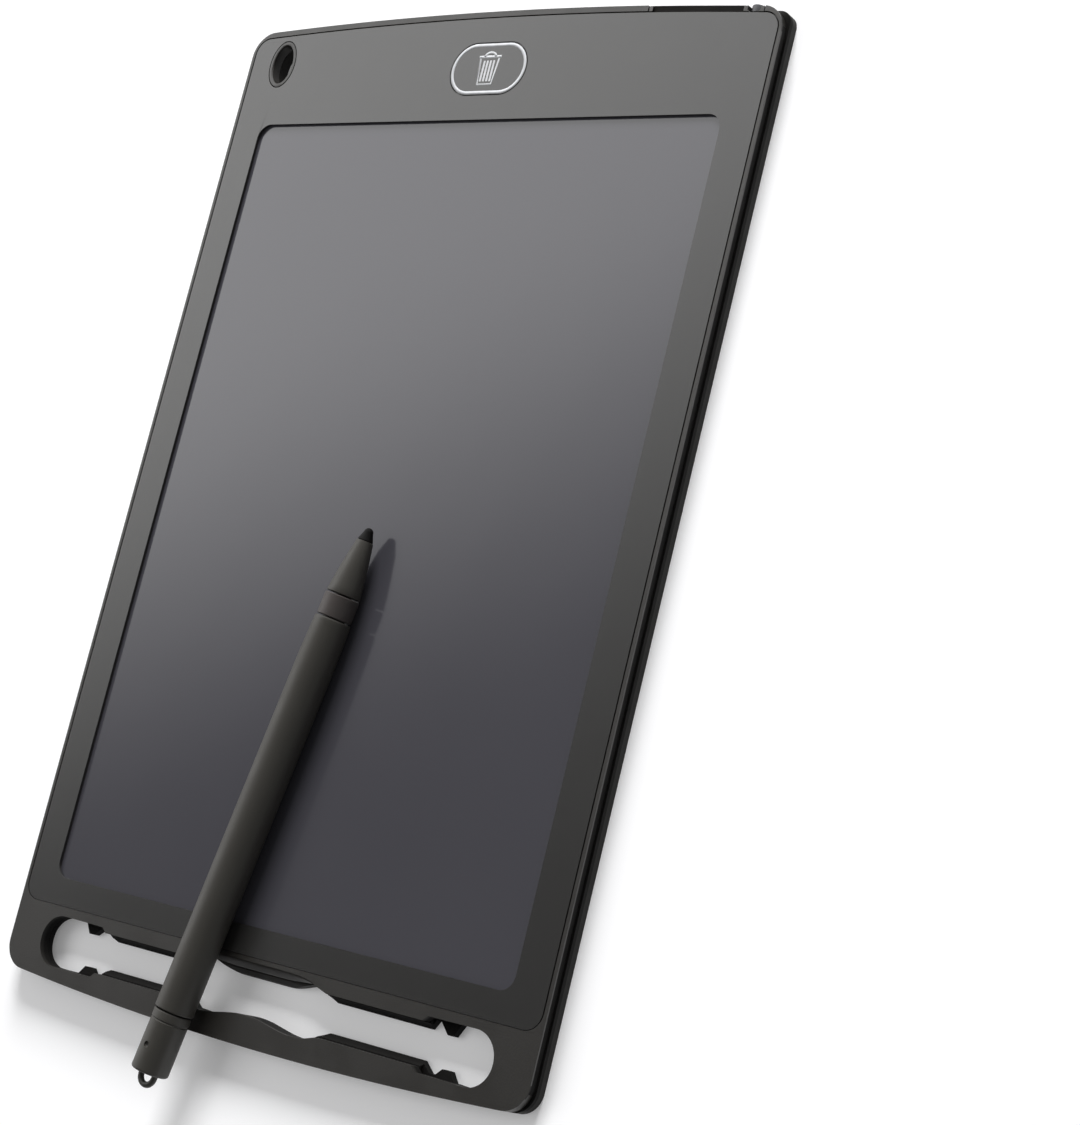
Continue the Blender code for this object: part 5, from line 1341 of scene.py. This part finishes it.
def key_print():
    """The ring and the bin symbol printed on the erase key."""
    level = FRONT + PRINT_THICKNESS / 4
    inset = PRINT_INSET + PRINT_STROKE / 2
    ring = moved(stadium(KEY_WIDTH - 2 * inset, KEY_HEIGHT - 2 * inset), 0, KEY_Y)
    lid = [(-BIN_LID_HALF, BIN_LID_Y), (BIN_LID_HALF, BIN_LID_Y)]
    turns = [math.pi * step / CORNER_STEPS for step in range(CORNER_STEPS + 1)]
    handle = [(BIN_HANDLE_HALF * math.cos(a), BIN_LID_Y + BIN_HANDLE_RISE * math.sin(a)) for a in turns]
    right_side = [(BIN_BODY_LOW_HALF, BIN_BODY_LOW_Y), (BIN_BODY_TOP_HALF, BIN_LID_Y)]
    body = [(-x, y) for x, y in reversed(right_side)] + right_side
    pieces = [print_strip("ring_print", ring, True, PRINT_STROKE, level)]
    for name, points, width in (
        ("lid_print", lid, PRINT_LID_STROKE),
        ("handle_print", handle, PRINT_FINE_STROKE),
        ("body_print", body, PRINT_FINE_STROKE),
    ):
        pieces.append(print_strip(name, moved(points, BIN_X, KEY_Y), False, width, level))
    rib_y = KEY_Y + (BIN_RIB_TOP_Y + BIN_RIB_LOW_Y) / 2
    ends = [(BIN_X + side * BIN_RIB_HALF_SPREAD, rib_y, level) for side in (-1, 1)]
    size = (PRINT_FINE_STROKE, BIN_RIB_TOP_Y - BIN_RIB_LOW_Y, PRINT_THICKNESS)
    pieces.append(bars("rib_print", BIN_RIBS, *ends, size, print_look))
    dress(merged("key_print", pieces), "key", print_look, "")


def nail_slot():
    """The cutter of the fingernail slot, which slopes from the top edge down to the faceplate."""
    lip = -NAIL_SLOT_LIP
    loop = [
        (lip, CAP_TOP + OVERRUN),
        (lip - 2 * OVERRUN, CAP_TOP + OVERRUN),
        (lip - 2 * OVERRUN, NAIL_SLOT_LOW),
        (lip - NAIL_SLOT_RUN, NAIL_SLOT_LOW),
        (lip, CAP_TOP + lip),
    ]
    left, right = NAIL_SLOT
    half = (right - left) / 2
    slot = prism("nail_slot", [loop], -half, half)
    fall = math.atan2(top_edge(right) - top_edge(left), right - left)
    middle = ((left + right) / 2, (top_edge(left) + top_edge(right)) / 2, 0)
    slot.data.transform(Matrix.Translation(middle) @ Matrix.Rotation(fall, 4, "Z") @ PROFILE_ACROSS)
    return slot


def battery_tray():
    cell_x, cell_y = CELL
    outer = CAP_INNER + CAP_GAP
    base = box_outline(cell_x - TRAY_HALF_WIDTH, cell_x + TRAY_HALF_WIDTH, cell_y - TRAY_HOLD, outer)
    tray = prism("battery_tray_shell", [base], TRAY_LOW, TRAY_TOP)
    crest = [CAP_RIGHT + (CAP_LEFT - CAP_RIGHT) * step / BOW_STEPS for step in range(BOW_STEPS + 1)]
    end_cap = [(CAP_LEFT, CAP_INNER), (CAP_RIGHT, CAP_INNER)] + [(x, top_edge(x)) for x in crest]
    cap_piece = prism("tray_cap", [end_cap], TRAY_LOW - SEAM_GAP / 2, CAP_TOP)
    round_edges(cap_piece, TRAY_EDGE, ROUND_STEPS - 1, lambda a, b: min(a.y, b.y) > outer)
    join(tray, cap_piece)
    notch_floor = top_edge(SCREW_X) - SCREW_NOTCH_DEPTH
    half_notch = SCREW_NOTCH_WIDTH / 2
    reach = TOP + OVERRUN - notch_floor
    notch = outline(half_notch, reach / 2, -reach / 2, SCREW_NOTCH_CORNER)
    notch = moved(notch, SCREW_X, notch_floor + reach / 2)
    pocket = (CELL_RADIUS + TRAY_CELL_GAP, (*CELL, TRAY_LOW + TRAY_FLOOR), TO_FRONT, FRONT, TURN_STEPS)
    bore = SCREW_SHANK_RADIUS + SCREW_BORE_GAP
    cut(
        tray,
        rod("cell_pocket", *pocket),
        rod("push_hole", PUSH_HOLE_RADIUS, (*CELL, -OVERRUN), TO_FRONT, FRONT),
        prism("cap_recess", [plate_outline(0, 0)], SHELF_TOP, FRONT + OVERRUN),
        nail_slot(),
        prism("screw_notch", [notch], SCREW_Z - half_notch, FRONT + OVERRUN),
        rod("cap_bore", bore, (SCREW_X, CAP_INNER - OVERRUN, SCREW_Z), TO_TOP, TOP - CAP_INNER),
    )
    shade(tray)
    dress(tray, "tray", shell_look, "shell", "battery_tray")


def tray_screw():
    """A small cross-recessed screw with a turned thread."""
    seat = top_edge(SCREW_X) - SCREW_NOTCH_DEPTH + SCREW_NOTCH_FLOOR_GAP
    place = Matrix.Translation((SCREW_X, seat, SCREW_Z)) @ TURN_TO_TOP
    profile = [(0, SCREW_HEAD_LENGTH)]
    profile += edge_arc(SCREW_HEAD_RADIUS, SCREW_HEAD_LENGTH, SCREW_HEAD_ROUND, True)
    profile += [(SCREW_HEAD_RADIUS, 0), (SCREW_SHANK_RADIUS, 0)]
    root = SCREW_SHANK_RADIUS - SCREW_THREAD_DEPTH
    for number in range(1, int(SCREW_SHANK_LENGTH / SCREW_THREAD_PITCH)):
        start = -SCREW_THREAD_PITCH * number
        profile += [(root, start), (SCREW_SHANK_RADIUS, start - SCREW_THREAD_PITCH / 2)]
    profile += [(root, -SCREW_SHANK_LENGTH), (0, -SCREW_SHANK_LENGTH)]
    screw = turned("tray_screw_steel", profile, place, HOLE_STEPS)
    floor_y = seat + SCREW_HEAD_LENGTH - SCREW_RECESS_DEPTH
    recesses = []
    for name, x, z in (
        ("recess_across", SCREW_RECESS_HALF, SCREW_RECESS_WIDTH / 2),
        ("recess_along", SCREW_RECESS_WIDTH / 2, SCREW_RECESS_HALF),
    ):
        sides = (SCREW_X - x, SCREW_X + x, floor_y, TOP + OVERRUN)
        recesses.append(block(name, *sides, SCREW_Z - z, SCREW_Z + z))
    cut(screw, *recesses)
    shade(screw)
    dress(screw, "screw", screw_look, "screw", "tray_screw")


def stylus_place():
    """Where the stylus lies: on the screen behind its collar, and on the window's lower edge."""
    to_edge = (STYLUS_TIP[1] - WINDOW_BOTTOM) / math.cos(STYLUS_TURN)
    drop = FRONT - STYLUS_SEAT + STYLUS_RADIUS - STYLUS_FRONT_RADIUS
    tilt = math.atan2(drop, to_edge - COLLAR_END)
    shoulder = STYLUS_SEAT + STYLUS_FRONT_RADIUS + STYLUS_REST_GAP
    tip_z = shoulder - COLLAR_END * math.tan(tilt) + STYLUS_REST_GAP
    ahead = Vector((-math.sin(STYLUS_TURN), -math.cos(STYLUS_TURN), 0)) * math.cos(tilt)
    ahead.z = math.sin(tilt)
    return Matrix.Translation((*STYLUS_TIP, tip_z)) @ ahead.to_track_quat("Z", "Y").to_matrix().to_4x4()


def edge_arc(radius, along, round_radius, rising):
    """Points that round the end of a turned piece, listed from its far end to its near end."""
    inner = radius - round_radius
    if rising:
        return arc((inner, along - round_radius), round_radius, math.pi / 2, 0, ROUND_STEPS)
    return arc((inner, along + round_radius), round_radius, 0, -math.pi / 2, ROUND_STEPS)


def flat_end(radius, end):
    """A turned profile's start: the flat far end of a peg."""
    return [(0, end), (radius, end)]


def near_end(radius, near, end):
    """A turned profile's end: a blind hole in its near end, or a peg on it."""
    return [(radius, near), (radius, end), (0, end)]


def stylus_nib(place):
    back = NIB_LENGTH - FIT_GAP
    profile = flat_end(NIB_SHANK_RADIUS, NIB_LENGTH + NIB_SHANK_LENGTH)
    profile += [(NIB_SHANK_RADIUS, back), (NIB_RADIUS - FIT_GAP / 2, back)]
    profile.append((NIB_RADIUS, NIB_LENGTH - 2 * FIT_GAP))
    profile += arc((0, NIB_TIP_RADIUS), NIB_TIP_RADIUS, 0, -math.pi / 2, 2 * ROUND_STEPS)
    return turned("stylus_nib_tip", profile, place)


def stylus_nose(place):
    back = NOSE_END - RING_GAP / 2
    profile = flat_end(NOSE_SPIGOT_RADIUS, NOSE_END + NOSE_SPIGOT_LENGTH) + [(NOSE_SPIGOT_RADIUS, back)]
    profile += edge_arc(NOSE_REAR_RADIUS, back, RING_EDGE, True)
    start = back - RING_EDGE
    for step in range(1, 2 * ROUND_STEPS):
        share = step / (2 * ROUND_STEPS)
        swell = NOSE_SWELL * math.sin(math.pi * share)
        radius = NOSE_REAR_RADIUS + (NOSE_FRONT_RADIUS - NOSE_REAR_RADIUS) * share + swell
        profile.append((radius, start + (NIB_LENGTH + RING_EDGE / 2 - start) * share))
    profile += edge_arc(NOSE_FRONT_RADIUS, NIB_LENGTH, RING_EDGE / 2, False)
    profile += near_end(NIB_SHANK_RADIUS + FIT_GAP, NIB_LENGTH, NIB_LENGTH + NIB_SHANK_LENGTH + FIT_GAP)
    return turned("stylus_nose_cone", profile, place)


def stylus_collar(place):
    front = NOSE_END + RING_GAP / 2
    back = COLLAR_END - RING_GAP / 2
    profile = flat_end(STYLUS_SPIGOT, COLLAR_END + SPIGOT_LENGTH) + [(STYLUS_SPIGOT, back)]
    profile += edge_arc(COLLAR_RADIUS, back, RING_EDGE, True)
    profile += edge_arc(COLLAR_RADIUS, front, RING_EDGE, False)
    profile += near_end(NOSE_SPIGOT_RADIUS + FIT_GAP, front, NOSE_END + NOSE_SPIGOT_LENGTH + FIT_GAP)
    return turned("stylus_collar_ring", profile, place)


def stylus_barrel(place):
    """An open tube that widens over its shoulder behind the collar."""
    front = COLLAR_END + RING_GAP / 2
    back = BARREL_END - RING_GAP / 2
    profile = [(STYLUS_BORE, back)] + edge_arc(STYLUS_RADIUS, back, RING_EDGE, True)
    steps = 2 * CORNER_STEPS
    for step in range(steps - 1):
        along = COLLAR_END + BARREL_SHOULDER * (1 - step / steps)
        share = min((along - COLLAR_END) / BARREL_SHOULDER, 1)
        swell = (STYLUS_RADIUS - STYLUS_FRONT_RADIUS) * math.sin(math.pi / 2 * share)
        profile.append((STYLUS_FRONT_RADIUS + swell, along))
    profile += edge_arc(STYLUS_FRONT_RADIUS, front, RING_EDGE, False) + [(STYLUS_BORE, front)]
    return turned("stylus_barrel_tube", profile, place)


def stylus_tail(place):
    """The stylus's end cap with its band groove, cord loop and dimple."""
    front = BARREL_END + RING_GAP / 2
    groove_radius = TAIL_GROOVE_WIDTH / 2
    groove = (TAIL_RADIUS + groove_radius / 4, BARREL_END + TAIL_BAND + groove_radius)
    profile = [(0, TAIL_END)] + edge_arc(TAIL_RADIUS, TAIL_END, TAIL_ROUND, True)
    profile += arc(groove, groove_radius, *TAIL_GROOVE_TURN, 2 * ROUND_STEPS)
    profile += edge_arc(TAIL_RADIUS, front, RING_EDGE, False)
    profile += near_end(STYLUS_SPIGOT, front, BARREL_END - SPIGOT_LENGTH)
    cap = turned("stylus_tail", profile)
    sunk = TAIL_END - 2 * LOOP_WIRE
    bend = arc((0, TAIL_END + LOOP_WIRE), LOOP_RADIUS, 0, math.pi, 2 * CORNER_STEPS)
    route = [(LOOP_RADIUS, sunk)] + bend + [(-LOOP_RADIUS, sunk)]
    join(cap, wire("tail_loop", [(x, 0, along) for x, along in route], LOOP_WIRE))
    profile = flat_end(DIMPLE_RADIUS, DIMPLE_DEPTH + OVERRUN)
    profile += edge_arc(DIMPLE_RADIUS, 0, DIMPLE_RADIUS / 2, False) + [(0, 0)]
    dimple_place = Matrix.Translation((0, TAIL_RADIUS - DIMPLE_DEPTH, DIMPLE_AT)) @ TURN_TO_TOP
    cut(cap, turned("tail_dimple", profile, dimple_place, HOLE_STEPS))
    cap.data.transform(place)
    return cap


def stylus():
    place = stylus_place()
    for make, look, slot, node in (
        (stylus_nib, nib_look, "nib", "stylus_nib"),
        (stylus_nose, stylus_look, "stylus", "stylus_nose"),
        (stylus_collar, collar_look, "stylus", "stylus_collar"),
        (stylus_barrel, stylus_look, "stylus", "stylus_barrel"),
        (stylus_tail, stylus_look, "stylus", "stylus_tail_cap"),
    ):
        piece = make(place)
        shade(piece)
        dress(piece, "stylus", look, slot, node)


def dress_inner_nodes():
    """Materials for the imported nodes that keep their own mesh."""
    axis = ((*CELL, 0), (0, 0, 0))
    looks = {node: plain_grain(*finish) for node, finish in HIDDEN_FINISHES.items()}
    looks["circuit_board"] = striped("green_board_mask", BOARD_GREEN, TRACK_GREEN, 0.35, 1.27 * MM, 0.3)
    looks["flex_tail"] = striped("amber_flex_film", FLEX_AMBER, FLEX_LINE, 0.3, 0.8 * MM, 0.45)
    looks["contact_negative"] = turned_metal("nickelled_spring", NICKEL_COLOUR, 0.25, *axis, 3000.0)
    looks["coin_cell"] = turned_metal("bright_cell_can", CELL_COLOUR, 0.2, *axis, 1800.0)
    looks["capacitor_2"] = looks["capacitor_1"]
    looks["contact_positive"] = looks["contact_negative"]
    for node, look in looks.items():
        mesh = frame["nodes"][node].data
        mesh.materials.clear()
        mesh.materials.append(look)


def camera():
    data = bpy.data.cameras.new("photo_view")
    data.sensor_width = CAMERA_SENSOR
    data.lens = CAMERA_LENS
    data.clip_start, data.clip_end = CAMERA_CLIP
    view = add("photo_view", data)
    turn = Matrix((Vector(CAMERA_RIGHT), Vector(CAMERA_UP), -Vector(CAMERA_AHEAD))).transposed()
    view.matrix_world = Matrix.Translation(CAMERA_PLACE) @ turn.to_4x4()
    bpy.context.scene.camera = view


def floor():
    """A pale floor that stays white to the camera and keeps the object's shadow."""
    work = bmesh.new()
    bmesh.ops.create_grid(work, x_segments=1, y_segments=1, size=FLOOR_HALF)
    ground = solid("studio_floor", work, outwards=False)
    ground.data.transform(Matrix.Translation((0, 0, FLOOR_LEVEL)))
    constants = {"Roughness": 0.9, "Specular IOR Level": 0.0, "Emission Strength": 1.0}
    look = Look("pale_floor", {"Base Color": (*FLOOR_COLOUR, 1.0), **constants})
    straight = look.ray("Camera")
    seen = straight.most(look.ray("Glossy")).most(look.ray("Transmission"))
    x, y, _ = look.axes(look.place())
    far = (x * x + y * y).root().ramp(*FLOOR_FAR)
    glow = seen * FLOOR_GLOW + straight * far * FLOOR_FAR_GLOW
    look.feed(look.shader.inputs["Emission Color"], glow)
    ground.data.materials.append(look.material)


def world():
    """Plain soft studio light, white to the camera, with one large graded card that gloss reflects."""
    made = bpy.data.worlds.new("studio")
    made.use_nodes = True
    bpy.context.scene.world = made
    nodes = Nodes(made.node_tree)
    background = made.node_tree.nodes["Background"]
    background.inputs["Color"].default_value = (1, 1, 1, 1)
    x, y, z = nodes.axes(nodes.place("Generated"))
    rise = z.most(LEAST_RISE)
    lean = (x * CARD_LEAN[0] + y * CARD_LEAN[1]) / rise
    reach = (x * x + y * y).root() / rise
    high_edge = reach.ramp(*CARD_HIGH_EDGE, CARD_HIGH_SHARE, 1.0)
    low_edge = reach.ramp(*CARD_LOW_EDGE, 1.0, CARD_LOW_SHARE)
    card = lean.ramp(CARD_START, CARD_END) * (high_edge * low_edge) * CARD_BRIGHT + CARD_DARK
    seen = nodes.ray("Camera") * (1 - WORLD_LEVEL)
    mirrored = nodes.ray("Glossy") * (card - WORLD_LEVEL)
    nodes.feed(background.inputs["Strength"], WORLD_LEVEL + seen + mirrored)


def softbox(name, place, side, power):
    """A square lamp that faces the tablet's middle and doesn't show in gloss."""
    data = bpy.data.lights.new(name, "AREA")
    data.size = side
    data.energy = power
    lamp = add(name, data)
    turn = (-Vector(place)).to_track_quat("-Z", "Y").to_matrix().to_4x4()
    lamp.matrix_world = Matrix.Translation(place) @ turn
    lamp.visible_glossy = False


rear_cover()
front_frame()
faceplate()
screen()
erase_key()
key_print()
battery_tray()
tray_screw()
stylus()
dress_inner_nodes()
camera()
floor()
world()
for name, (place, side, power) in SOFTBOXES.items():
    softbox(name, place, side, power)
bpy.context.scene.view_settings.view_transform = "Standard"
